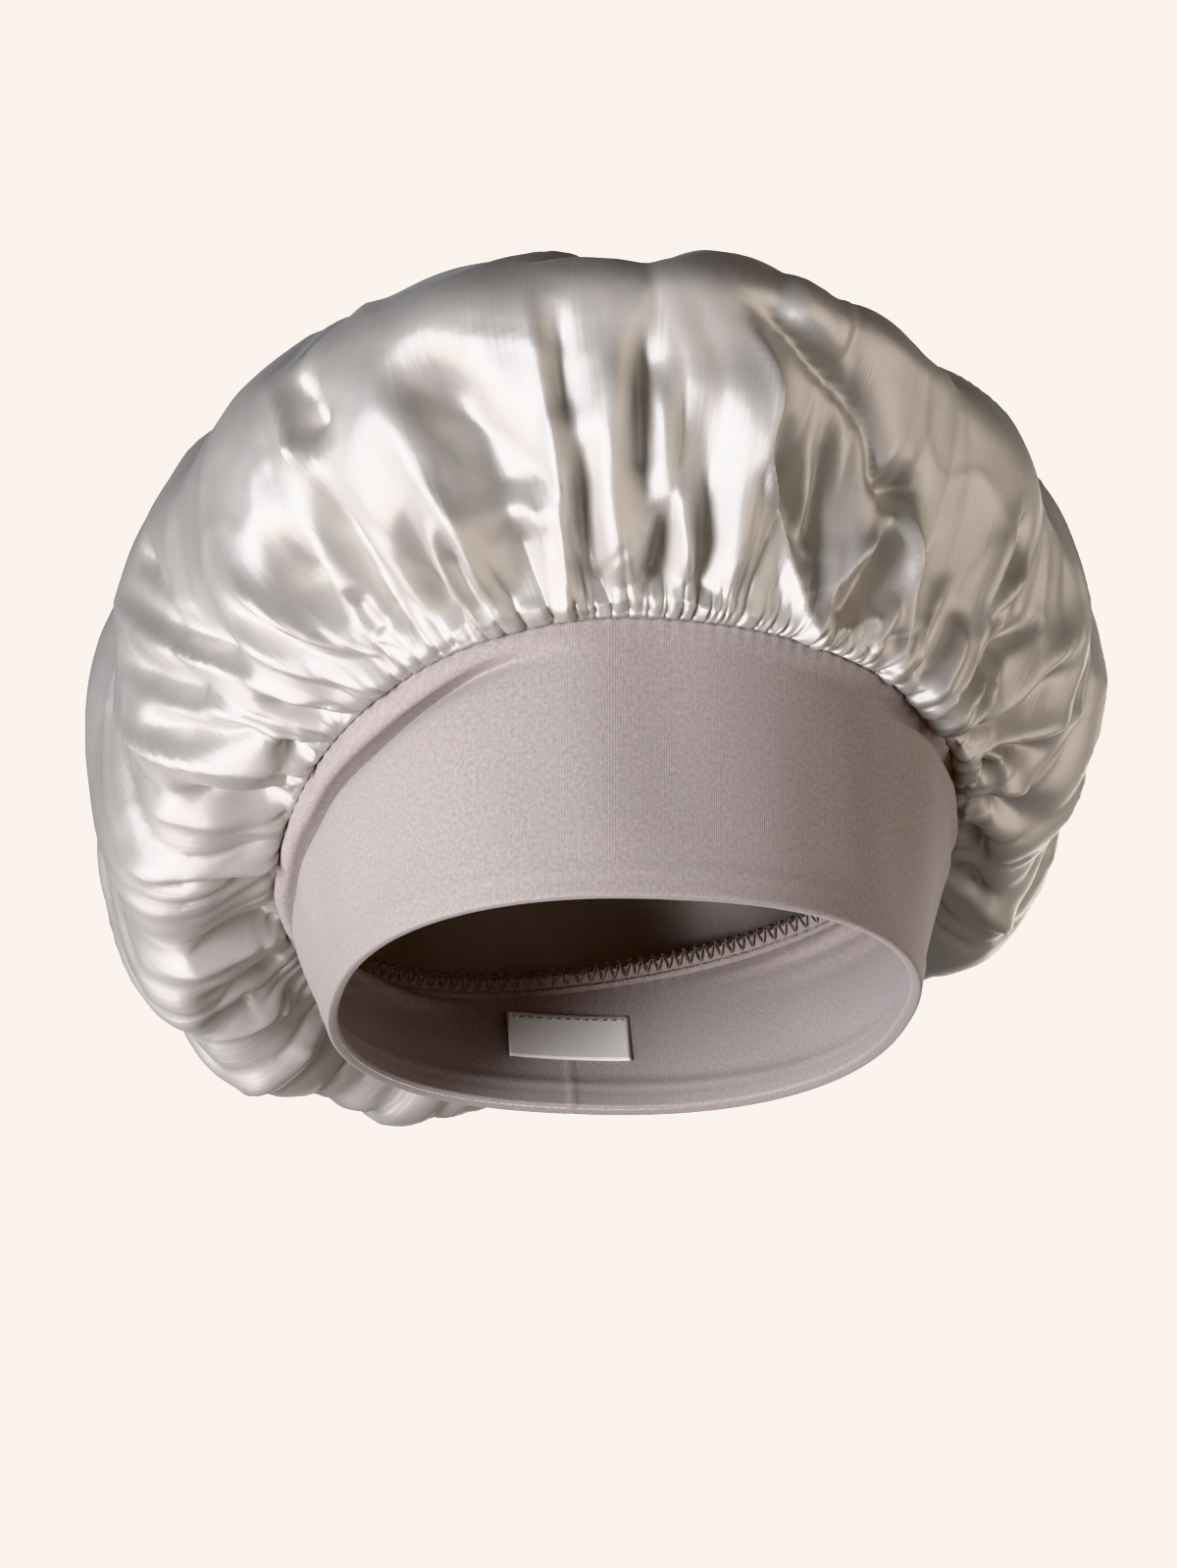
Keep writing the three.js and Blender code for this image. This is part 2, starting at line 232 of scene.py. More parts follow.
def ring_faces(first: int, rows: int, columns: int, looped: bool = False) -> tuple[Array, Array]:
    """Numbers the faces of rings of equally many points, which run round anticlockwise.

    Args:
        first: Number of the first ring's first point.
        rows: Number of rings.
        columns: Points in each ring.
        looped: Whether the last ring is joined to the first.

    Returns:
        Four point numbers for each face, and the (column, row) of the same corners,
        which count on past the join.
    """
    row, column = np.meshgrid(np.arange(rows if looped else rows - 1), np.arange(columns), indexing="ij")
    row, column = row.ravel(), column.ravel()
    steps = [(0, 0), (0, 1), (1, 1), (1, 0)]
    places = np.stack([np.stack([column + c, row + r], axis=-1) for r, c in steps], axis=1)
    corners = first + (places[..., 1] % rows) * columns + places[..., 0] % columns
    return corners, places.astype(float)


def feed(tree: Tree, node: bpy.types.Node, **inputs: object) -> None:
    """Feeds a node's inputs.

    Args:
        tree: Node tree of the material.
        node: The node.
        **inputs: For each input, by its name with _ for spaces or as in0 for its number,
            either a value or the output socket that feeds it.
    """
    for key, value in inputs.items():
        numbered = key.startswith("in") and key[2:].isdigit()
        socket = node.inputs[int(key[2:]) if numbered else key.replace("_", " ")]
        if isinstance(value, Socket):
            tree.links.new(value, socket)
        else:
            socket.default_value = value


def add_node(tree: Tree, kind: str, settings: dict | None = None, **inputs: object) -> bpy.types.Node:
    """Adds a node with its settings, values and links.

    Args:
        tree: Node tree of the material.
        kind: Name of the node's type.
        settings: Properties of the node itself.
        **inputs: Its inputs, as for feed.

    Returns:
        The new node.
    """
    node = tree.nodes.new(kind)
    for key, value in (settings or {}).items():
        setattr(node, key, value)
    feed(tree, node, **inputs)
    return node


def object_places(tree: Tree) -> Socket:
    """Returns the places in the object, in metres."""
    return add_node(tree, "ShaderNodeTexCoord").outputs["Object"]


def cloth_places(tree: Tree) -> Socket:
    """Returns the places on the flat cloth, in millimetres."""
    return add_node(tree, "ShaderNodeUVMap", {"uv_map": "cloth"}).outputs[0]


def noise(tree: Tree, places: Socket, scale: float, **shape: float) -> Socket:
    """Returns a grey noise, at a scale in waves for each unit of the places."""
    return add_node(tree, "ShaderNodeTexNoise", Vector=places, Scale=scale, **shape).outputs[0]


def bands(tree: Tree, places: Socket, direction: str, pitch: float, **shape: float) -> Socket:
    """Returns grey bands across a direction, at a pitch in the unit of the places."""
    kind = {"wave_type": "BANDS", "bands_direction": direction}
    scale = TURN / WAVE_RATE / pitch
    return add_node(tree, "ShaderNodeTexWave", kind, Vector=places, Scale=scale, **shape).outputs[1]


def bump(tree: Tree, height: Socket, strength: float | Socket, depth: float, **under: Socket) -> Socket:
    """Returns the normals of a relief, whose depth is in millimetres."""
    values = {"Height": height, "Strength": strength, "Distance": depth * MM}
    return add_node(tree, "ShaderNodeBump", **values, **under).outputs[0]


def remap(tree: Tree, value: Socket, start: Span, end: Span = (0.0, 1.0)) -> Socket:
    """Returns a value carried from one span to another."""
    spans = {"From_Min": start[0], "From_Max": start[1], "To_Min": end[0], "To_Max": end[1]}
    return add_node(tree, "ShaderNodeMapRange", Value=value, **spans).outputs[0]


def added(tree: Tree, value: Socket, factor: float, rest: Socket) -> Socket:
    """Returns a value times a factor, added to the rest."""
    kind = {"operation": "MULTIPLY_ADD"}
    return add_node(tree, "ShaderNodeMath", kind, in0=value, in1=factor, in2=rest).outputs[0]


def mixed(tree: Tree, share: Socket, dark: str, light: str) -> Socket:
    """Returns the mix of two colours: the dark one at 0 and the light one at 1."""
    kind = {"data_type": "RGBA"}
    return add_node(tree, "ShaderNodeMix", kind, in0=share, in6=srgb(dark), in7=srgb(light)).outputs[2]


@dataclass(frozen=True)
class Finish:
    """What every finish has: its name and the light and dark of its colour."""

    name: str
    light: str
    dark: str

    def start(self) -> tuple[bpy.types.Material, Tree, bpy.types.Node]:
        """Starts the material.

        Returns:
            The material, its node tree, and its main shader.
        """
        material = bpy.data.materials.new(self.name)
        material.use_nodes = True
        material.diffuse_color = srgb(self.light)
        return material, material.node_tree, material.node_tree.nodes["Principled BSDF"]


@dataclass(frozen=True)
class CharmeuseSatin(Finish):
    """Polyester charmeuse, woven with long floats: smooth, supple and glossy along them."""

    roughness: float = 0.53
    # How far the gloss differs from place to place, in clouds of this length.
    unevenness: float = 0.03
    cloud_length: float = 35.0
    metallic: float = 0.6
    # The floats are 0.15 mm apart. They are drawn at 0.5 mm, which is as fine as shows.
    float_spacing: float = 0.5
    float_bump: float = 0.006
    crumple_length: float = 9.0
    crumple_bump: float = 0.4
    # The cloth is drawn a little between its gathers, in streaks that run with them.
    streak_width: float = 2.3
    streak_length: float = 34.0
    streak_bump: float = 0.2
    # The streaks fade from the first strength to the second between these distances.
    streaks_fade: Span = (110.0, 185.0)
    streak_strengths: Span = (0.6, 0.03)

    def make(self) -> bpy.types.Material:
        """Makes the material: a soft gloss drawn out along the floats, and fine crumples."""
        material, tree, shader = self.start()
        place, cloth = object_places(tree), cloth_places(tree)
        cloud = noise(tree, place, 1 / (self.cloud_length * MM), Detail=3.0, Roughness=0.55)
        middle = (0.3, 0.7)
        gloss = (self.roughness - self.unevenness, self.roughness + self.unevenness)
        crumple = noise(tree, place, 1 / (self.crumple_length * MM), Detail=2.0, Roughness=0.4)
        narrow = (1 / self.streak_width, 1 / self.streak_length, 1.0)
        drawn = add_node(tree, "ShaderNodeMapping", Vector=cloth, Scale=narrow)
        streaks = noise(tree, drawn.outputs[0], 1.0, Detail=2.0, Roughness=0.5)
        from_seam = add_node(tree, "ShaderNodeSeparateXYZ", Vector=cloth).outputs[1]
        strength = remap(tree, from_seam, self.streaks_fade, self.streak_strengths)
        floats = bands(tree, cloth, "X", self.float_spacing, Distortion=1.5, Detail=1.0)
        soft = bump(tree, crumple, 0.6, self.crumple_bump)
        streaky = bump(tree, streaks, strength, self.streak_bump, Normal=soft)
        tangent = add_node(tree, "ShaderNodeTangent", {"direction_type": "UV_MAP", "uv_map": "cloth"})
        feed(
            tree,
            shader,
            Base_Color=mixed(tree, remap(tree, cloud, middle), self.dark, self.light),
            Roughness=remap(tree, cloud, middle, gloss),
            Normal=bump(tree, floats, 0.35, self.float_bump, Normal=streaky),
            Tangent=tangent.outputs[0],
            Metallic=self.metallic,
            Anisotropic=0.45,
            IOR=1.55,
            Specular_IOR_Level=0.6,
            Sheen_Weight=0.15,
            Sheen_Roughness=0.4,
        )
        return material


@dataclass(frozen=True)
class SatinBack(Finish):
    """The back of the charmeuse, a matt crepe."""

    grain: float = 0.6

    def make(self) -> bpy.types.Material:
        """Makes the material: matt, with a fine pebbled grain."""
        material, tree, shader = self.start()
        grain = noise(tree, object_places(tree), 1 / (self.grain * MM), Detail=2.0)
        feed(
            tree,
            shader,
            Base_Color=mixed(tree, grain, self.dark, self.light),
            Normal=bump(tree, grain, 0.4, 0.05),
            Roughness=0.62,
            Sheen_Weight=0.2,
        )
        return material


@dataclass(frozen=True)
class StretchJersey(Finish):
    """Spun polyester and elastane single jersey: matt, with fine upright wales."""

    # Wales are 0.5 mm apart and courses 0.4 mm, and both are drawn a quarter wider.
    wale: float = 0.62
    course: float = 0.5
    fuzz: float = 0.9

    def make(self) -> bpy.types.Material:
        """Makes the material: wales crossed by courses, mottled yarn, and a light fuzz."""
        material, tree, shader = self.start()
        cloth = cloth_places(tree)
        wales = bands(tree, cloth, "X", self.wale, Distortion=1.5, Detail=2.0, Detail_Scale=0.8)
        courses = bands(tree, cloth, "Y", self.course, Distortion=1.2, Detail=2.0)
        yarn = noise(tree, cloth, 1.1, Detail=3.0, Roughness=0.6)
        fuzz = noise(tree, object_places(tree), 1 / (self.fuzz * MM), Detail=2.0)
        knit = added(tree, courses, 0.45, wales)
        mottle = remap(tree, added(tree, knit, 0.14, yarn), (0.3, 0.85))
        feed(
            tree,
            shader,
            Base_Color=mixed(tree, mottle, self.dark, self.light),
            Normal=bump(tree, added(tree, fuzz, 1.1, knit), 0.5, 0.07),
            Roughness=0.82,
            Specular_IOR_Level=0.3,
            Sheen_Weight=0.25,
            Sheen_Roughness=0.5,
        )
        return material


@dataclass(frozen=True)
class Woven(Finish):
    """A narrow woven tape or a spun thread: ribs across it, at a spacing in millimetres."""

    spacing: float
    roughness: float = 0.6
    relief: float = 0.05

    def make(self) -> bpy.types.Material:
        """Makes the material: fine ribs along one direction, slightly uneven in colour."""
        material, tree, shader = self.start()
        pitch = self.spacing * MM
        ribs = bands(tree, object_places(tree), "DIAGONAL", pitch, Distortion=1.0, Detail=1.0)
        feed(
            tree,
            shader,
            Base_Color=mixed(tree, ribs, self.dark, self.light),
            Normal=bump(tree, ribs, 0.5, self.relief),
            Roughness=self.roughness,
            Sheen_Weight=0.2,
        )
        return material


SATIN = CharmeuseSatin("charmeuse_satin_silver_grey", light="CECAC4", dark="C3BEB8")
SATIN_BACK = SatinBack("charmeuse_back_matt_crepe", light="CFC8C3", dark="B9B0AB")
JERSEY = StretchJersey("stretch_jersey_warm_grey", light="B1A6A3", dark="928784")
ELASTIC = Woven("woven_elastic_white", light="EFEDE9", dark="D5D1CB", spacing=1.2, relief=0.12)
THREAD = Woven("spun_polyester_thread_grey", light="A3978F", dark="6F655F", spacing=0.6)
PAPER = Finish("matt_cream_paper", light="F6EFE9", dark="F1E9E2")
LABEL_TAPE = Woven("satin_woven_label_tape", light="F4F2EE", dark="E4E0DA", spacing=0.5, roughness=0.45)


@dataclass
class PhotoCamera:
    """The camera at the photograph's angle, in degrees, and the photograph's pixels."""

    azimuth: float = -8.0
    elevation: float = -19.62
    distance: float = 1600.0
    aim_right: float = -8.69
    aim_height: float = 63.07
    lens: float = 185.31
    sensor: float = 36.0
    image_width: int = 1200
    image_height: int = 1599
    clip_far: float = 30.0
    right: Array = field(init=False)
    up: Array = field(init=False)
    back: Array = field(init=False)
    eye: Array = field(init=False)

    def __post_init__(self) -> None:
        """Works out the camera's axes and place, from its azimuth and elevation."""
        turn, tilt = math.radians(self.azimuth), math.radians(self.elevation)
        self.back = np.array(
            [math.sin(turn) * math.cos(tilt), -math.cos(turn) * math.cos(tilt), math.sin(tilt)]
        )
        self.right = np.array([math.cos(turn), math.sin(turn), 0.0])
        self.up = np.cross(self.back, self.right)
        aim = self.right * self.aim_right + np.array([0.0, 0.0, self.aim_height])
        self.eye = aim + self.back * self.distance

    def place(self) -> None:
        """Puts the camera in the scene and makes it the scene's own."""
        data = bpy.data.cameras.new("photo_camera")
        data.sensor_fit = "HORIZONTAL"
        data.sensor_width = self.sensor
        data.lens = self.lens
        data.clip_end = self.clip_far
        camera = linked("photo_camera", data)
        camera.matrix_world = pose(self.right, self.up, self.back, self.eye * MM)
        bpy.context.scene.camera = camera

    def pixels(self, points: Array) -> Array:
        """Returns the photograph's pixels, (x, y), of points in millimetres."""
        focal = self.lens / self.sensor * self.image_width
        away = points - self.eye
        depth = -(away @ self.back)
        across = self.image_width / 2 + focal * (away @ self.right) / depth
        down = self.image_height / 2 - focal * (away @ self.up) / depth
        return np.stack([across, down], axis=-1)


@dataclass
class HeadOpening:
    """The oval of the band's lower edge, and the gather seam above it."""

    half_width: float = 76.0
    half_depth: float = 95.0
    squareness: float = 2.3
    seam_height: Round = Round(72.2, 57.8, 40.2, 45.8, -4.0)
    seam_flare: Round = Round(2.0, 12.5, 18.0, 12.5)
    # The raw edges stand inward from the seam, at an angle in radians above level.
    allowance_width: float = 7.0
    allowance_angle: float = 0.87
    knit: float = 0.9
    ply_gap: float = 0.4
    clearance: float = 0.3

    def out(self, angle: Array, reach: Array, height: Array) -> Array:
        """Returns points set outward of the oval.

        Args:
            angle: Angles round the head.
            reach: How far outward of the oval, along the line from its middle.
            height: Heights.

        Returns:
            Points with a last axis of length 3.
        """
        foot = rounded_oval(self.half_width, self.half_depth, self.squareness, angle)
        place = foot + unit(foot) * np.asarray(reach)[..., None]
        height = np.broadcast_to(height, place.shape[:-1])
        return np.concatenate([place, height[..., None]], axis=-1)

    def allowance(self, angle: Array, along: Array, above: Array) -> Array:
        """Returns points on the stack of raw edges, which stands inward and up.

        Args:
            angle: Angles round the head.
            along: The way in from the seam line.
            above: The height over the band's outer face there.

        Returns:
            Points with a last axis of length 3.
        """
        cosine, sine = math.cos(self.allowance_angle), math.sin(self.allowance_angle)
        reach = self.seam_flare.at(angle) - along * cosine + above * sine
        return self.out(angle, reach, self.seam_height.at(angle) + along * sine + above * cosine)

    @property
    def back_height(self) -> float:
        """Height of the seam at the middle of the back."""
        return float(self.seam_height.at(np.array(math.pi)))

    @property
    def back_flare(self) -> float:
        """How far the band leans out up to the seam, at the middle of the back."""
        return float(self.seam_flare.at(np.array(math.pi)))

    @property
    def under(self) -> float:
        """How far the head side of the two plies lies below the outer face, at the seam."""
        return -(2 * self.knit + self.ply_gap)


def column_angle(even: Array) -> Array:
    """Returns where the cloth's evenly spaced columns lie round the head: they crowd a little."""
    return even + 0.05 * np.sin(2 * even + 0.6) + 0.03 * np.sin(5 * even + 2)


class Side(Enum):
    """Which way a fold stands."""

    RIDGE = 1.0
    CREASE = -1.0


@dataclass(frozen=True)
class Fold:
    """One fold that the photograph shows, along pixels of its 1200 by 1599 frame.

    The sharpness is the power by which its height falls off to the sides: a low one gives
    a sharp line with long sides, and a high one gives a round back.
    """

    side: Side
    height: float
    width: float
    sharpness: float
    line: tuple[tuple[int, int], ...]


def ridge(height: float, width: float, sharpness: float, *line: tuple[int, int]) -> Fold:
    """Returns a fold that stands out."""
    return Fold(Side.RIDGE, height, width, sharpness, line)


def crease(depth: float, width: float, sharpness: float, *line: tuple[int, int]) -> Fold:
    """Returns a fold that goes in."""
    return Fold(Side.CREASE, depth, width, sharpness, line)


# Each has its height, its width and its sharpness, and then the line of its pixels.
FRONT_FOLDS: tuple[Fold, ...] = (
    ridge(4.5, 3.2, 1.1, (526, 285), (545, 330), (556, 400), (567, 470), (574, 540), (580, 600), (577, 626)),
    crease(2.0, 3.2, 1.3, (568, 300), (569, 360), (573, 425)),
    ridge(5.0, 8.0, 1.5, (345, 345), (392, 420), (446, 492), (476, 545), (500, 600), (516, 634)),
    ridge(2.0, 2.8, 1.1, (400, 437), (420, 470), (445, 500), (465, 522), (478, 555), (492, 590), (510, 624)),
    crease(4.4, 4.2, 1.3, (413, 505), (418, 545), (428, 585), (447, 616), (472, 642)),
    ridge(3.2, 3.4, 1.2, (424, 490), (440, 535), (452, 575), (470, 610), (492, 640)),
    crease(3.2, 3.4, 1.3, (452, 530), (464, 565), (480, 600), (500, 632)),
    crease(3.4, 8.0, 1.6, (532, 520), (535, 570), (540, 620)),
    ridge(2.6, 3.0, 1.2, (520, 500), (548, 530), (560, 575), (560, 622)),
    crease(3.4, 7.5, 1.8, (412, 352), (442, 392), (476, 430), (505, 470), (520, 510)),
    crease(3.0, 4.2, 1.5, (600, 432), (593, 480), (596, 530), (604, 580), (614, 618)),
    ridge(4.6, 6.5, 1.7, (628, 330), (628, 400), (624, 480), (626, 545), (636, 600)),
    crease(2.2, 3.8, 1.6, (656, 320), (657, 380), (657, 440), (658, 485)),
    ridge(2.4, 3.0, 1.3, (670, 365), (675, 430), (674, 485)),
    ridge(3.8, 3.6, 1.4, (690, 400), (689, 470), (697, 540), (705, 580), (706, 616)),
    crease(2.6, 3.4, 1.5, (684, 505), (678, 545), (664, 592)),
    crease(3.6, 5.5, 1.5, (718, 390), (722, 460), (725, 530), (718, 580), (708, 616)),
    ridge(
        5.0, 3.0, 1.1, (742, 320), (762, 340), (778, 360), (785, 392), (783, 425), (774, 465), (784, 488),
        (799, 515), (806, 560), (818, 604), (828, 648),
    ),
    ridge(4.0, 8.0, 1.7, (752, 345), (764, 400), (762, 470), (752, 540), (730, 606)),
    crease(4.2, 5.5, 1.5, (796, 400), (806, 470), (818, 540), (834, 600)),
    ridge(2.6, 13.0, 1.8, (792, 300), (830, 316), (870, 345)),
    ridge(3.0, 4.6, 1.4, (832, 440), (828, 500), (824, 560), (828, 600)),
    crease(3.4, 3.4, 1.4, (855, 412), (852, 460), (846, 510), (838, 560)),
    crease(2.6, 3.2, 1.2, (740, 296), (770, 312), (815, 345), (860, 392), (890, 430), (897, 478), (903, 500)),
    ridge(4.2, 3.6, 1.2, (912, 535), (880, 564), (850, 600), (836, 650)),
    crease(5.0, 4.0, 1.3, (900, 492), (916, 498), (938, 492)),
    ridge(4.5, 4.0, 1.4, (932, 500), (929, 550), (930, 600), (922, 650), (908, 684)),
    crease(4.4, 4.0, 1.4, (913, 530), (905, 570), (880, 600), (858, 636)),
    ridge(3.0, 3.2, 1.3, (850, 652), (872, 632), (894, 630)),
    ridge(3.4, 3.0, 1.3, (918, 600), (904, 634), (886, 664)),
    ridge(2.6, 2.6, 1.2, (980, 584), (962, 602), (947, 628), (934, 652), (927, 684)),
    ridge(3.4, 3.4, 1.4, (976, 622), (972, 648), (956, 678), (934, 706)),
    ridge(
        3.4, 3.2, 1.2, (1040, 495), (1034, 528), (1020, 560), (1012, 590), (1003, 614), (992, 640),
        (982, 668), (958, 702), (943, 720),
    ),
    crease(3.4, 3.0, 1.3, (1050, 512), (1036, 556), (1022, 584), (1012, 610), (1000, 636)),
    ridge(3.2, 3.0, 1.2, (1058, 560), (1036, 586), (1022, 612), (1006, 636), (992, 656)),
    crease(4.0, 3.6, 1.3, (1040, 604), (1030, 626), (1012, 644), (998, 664), (988, 684)),
    ridge(
        3.4, 3.2, 1.2, (1060, 606), (1046, 632), (1022, 646), (1005, 662), (998, 684), (986, 702), (962, 724),
        (946, 738),
    ),
    crease(3.8, 3.4, 1.3, (1066, 622), (1054, 646), (1030, 658), (1010, 676), (1004, 700)),
    ridge(
        3.4, 3.4, 1.2, (1074, 628), (1062, 648), (1036, 664), (1020, 686), (1010, 712), (984, 732),
        (962, 744),
    ),
    ridge(
        4.6, 5.0, 1.3, (1108, 600), (1095, 632), (1080, 660), (1058, 680), (1042, 704), (1026, 726),
        (1000, 738), (968, 752),
    ),
    crease(6.0, 4.0, 1.2, (1094, 676), (1062, 700), (1044, 722), (1018, 740), (986, 752), (966, 760)),
    ridge(3.0, 3.4, 1.2, (1124, 714), (1080, 732), (1044, 748), (1008, 763), (972, 774)),
    crease(3.0, 3.6, 1.3, (1076, 764), (1040, 768), (1004, 774)),
    ridge(2.8, 3.0, 1.2, (1014, 778), (994, 784), (974, 794)),
    crease(3.6, 3.4, 1.3, (1030, 792), (1008, 794), (984, 800)),
    ridge(2.8, 3.4, 1.2, (1070, 804), (1024, 806), (976, 808)),
    crease(4.0, 6.5, 1.5, (1085, 830), (1040, 836), (1000, 828), (980, 820)),
    crease(4.2, 3.2, 1.2, (1002, 892), (996, 868), (984, 850), (972, 838)),
    crease(4.6, 3.2, 1.2, (1008, 926), (990, 910), (966, 894)),
    ridge(3.4, 3.0, 1.2, (1046, 958), (1020, 938), (992, 918), (962, 898)),
    ridge(4.0, 3.4, 1.1, (268, 380), (280, 415), (292, 440), (304, 474)),
    crease(4.2, 4.6, 1.4, (298, 372), (306, 400), (318, 436)),
    crease(4.6, 4.0, 1.4, (310, 480), (327, 515), (346, 548), (366, 578), (388, 611), (412, 654)),
    ridge(2.6, 3.0, 1.2, (304, 530), (322, 578), (342, 606), (354, 634), (372, 656)),
    crease(3.2, 3.0, 1.4, (350, 602), (362, 628), (386, 652)),
    crease(4.2, 5.6, 1.6, (254, 534), (282, 562), (308, 590), (330, 616), (352, 642), (382, 662)),
    ridge(4.2, 3.2, 1.1, (220, 528), (232, 572), (250, 600), (280, 628), (310, 649), (345, 663), (392, 672)),
    crease(3.6, 3.0, 1.4, (230, 604), (255, 626), (287, 648), (322, 665), (360, 677), (396, 682)),
    ridge(3.2, 3.0, 1.1, (216, 612), (238, 644), (266, 664), (302, 684), (350, 694), (388, 693)),
    crease(7.0, 4.2, 1.3, (126, 598), (148, 619), (176, 641), (206, 658), (238, 681)),
    ridge(
        5.0, 3.4, 1.1, (112, 592), (128, 622), (154, 647), (184, 665), (214, 679), (244, 693), (272, 709),
        (306, 719), (344, 720),
    ),
    crease(3.0, 3.2, 1.2, (144, 552), (150, 578), (166, 604)),
    crease(2.6, 4.2, 1.6, (120, 668), (160, 690), (204, 712)),
    ridge(3.2, 3.2, 1.2, (165, 700), (208, 720), (244, 735), (282, 748), (324, 753)),
    crease(3.8, 3.4, 1.4, (250, 709), (277, 723), (307, 733), (344, 733)),
    crease(3.0, 3.0, 1.4, (148, 728), (180, 743), (216, 751), (262, 748)),
    crease(3.6, 4.4, 1.8, (278, 766), (298, 768), (314, 764)),
    ridge(3.4, 3.2, 1.1, (92, 700), (118, 733), (150, 757), (190, 773), (235, 780), (312, 782)),
    crease(3.0, 4.0, 1.4, (265, 790), (285, 799), (304, 802)),
    crease(3.4, 4.2, 1.4, (165, 804), (200, 817), (250, 829), (298, 818)),
    ridge(3.4, 4.4, 1.4, (120, 800), (160, 835), (220, 850), (296, 832)),
    ridge(3.4, 4.0, 1.3, (118, 868), (160, 890), (215, 890), (278, 872)),
    crease(3.2, 3.2, 1.2, (130, 904), (180, 902), (230, 894), (280, 886)),
    crease(5.0, 3.8, 1.2, (190, 986), (230, 966), (270, 944), (285, 930)),
    ridge(4.0, 3.6, 1.3, (130, 980), (190, 992), (230, 978), (286, 946)),
    crease(3.4, 3.6, 1.4, (190, 1022), (240, 1012), (292, 974)),
    ridge(4.0, 3.8, 1.2, (175, 1042), (220, 1058), (262, 1040), (300, 1020)),
    crease(4.0, 3.6, 1.4, (196, 1046), (235, 1036), (262, 1022)),
    ridge(3.6, 4.6, 1.4, (230, 1112), (262, 1100), (300, 1080), (315, 1060)),
)


@dataclass(frozen=True)
class Zone:
    """Rows of the crown with equally many columns, out to a distance from the seam.

    The lining there has fewer columns, and one row for each stride of the face's rows.
    """

    end: float
    row_step: float
    columns: int
    lining_columns: int
    lining_stride: int


@dataclass(frozen=True)
class Gathers:
    """Gathers of one rank: how many there are, and how far, deep and wide they go."""

    count: int
    reach: float
    depth: float
    width: float


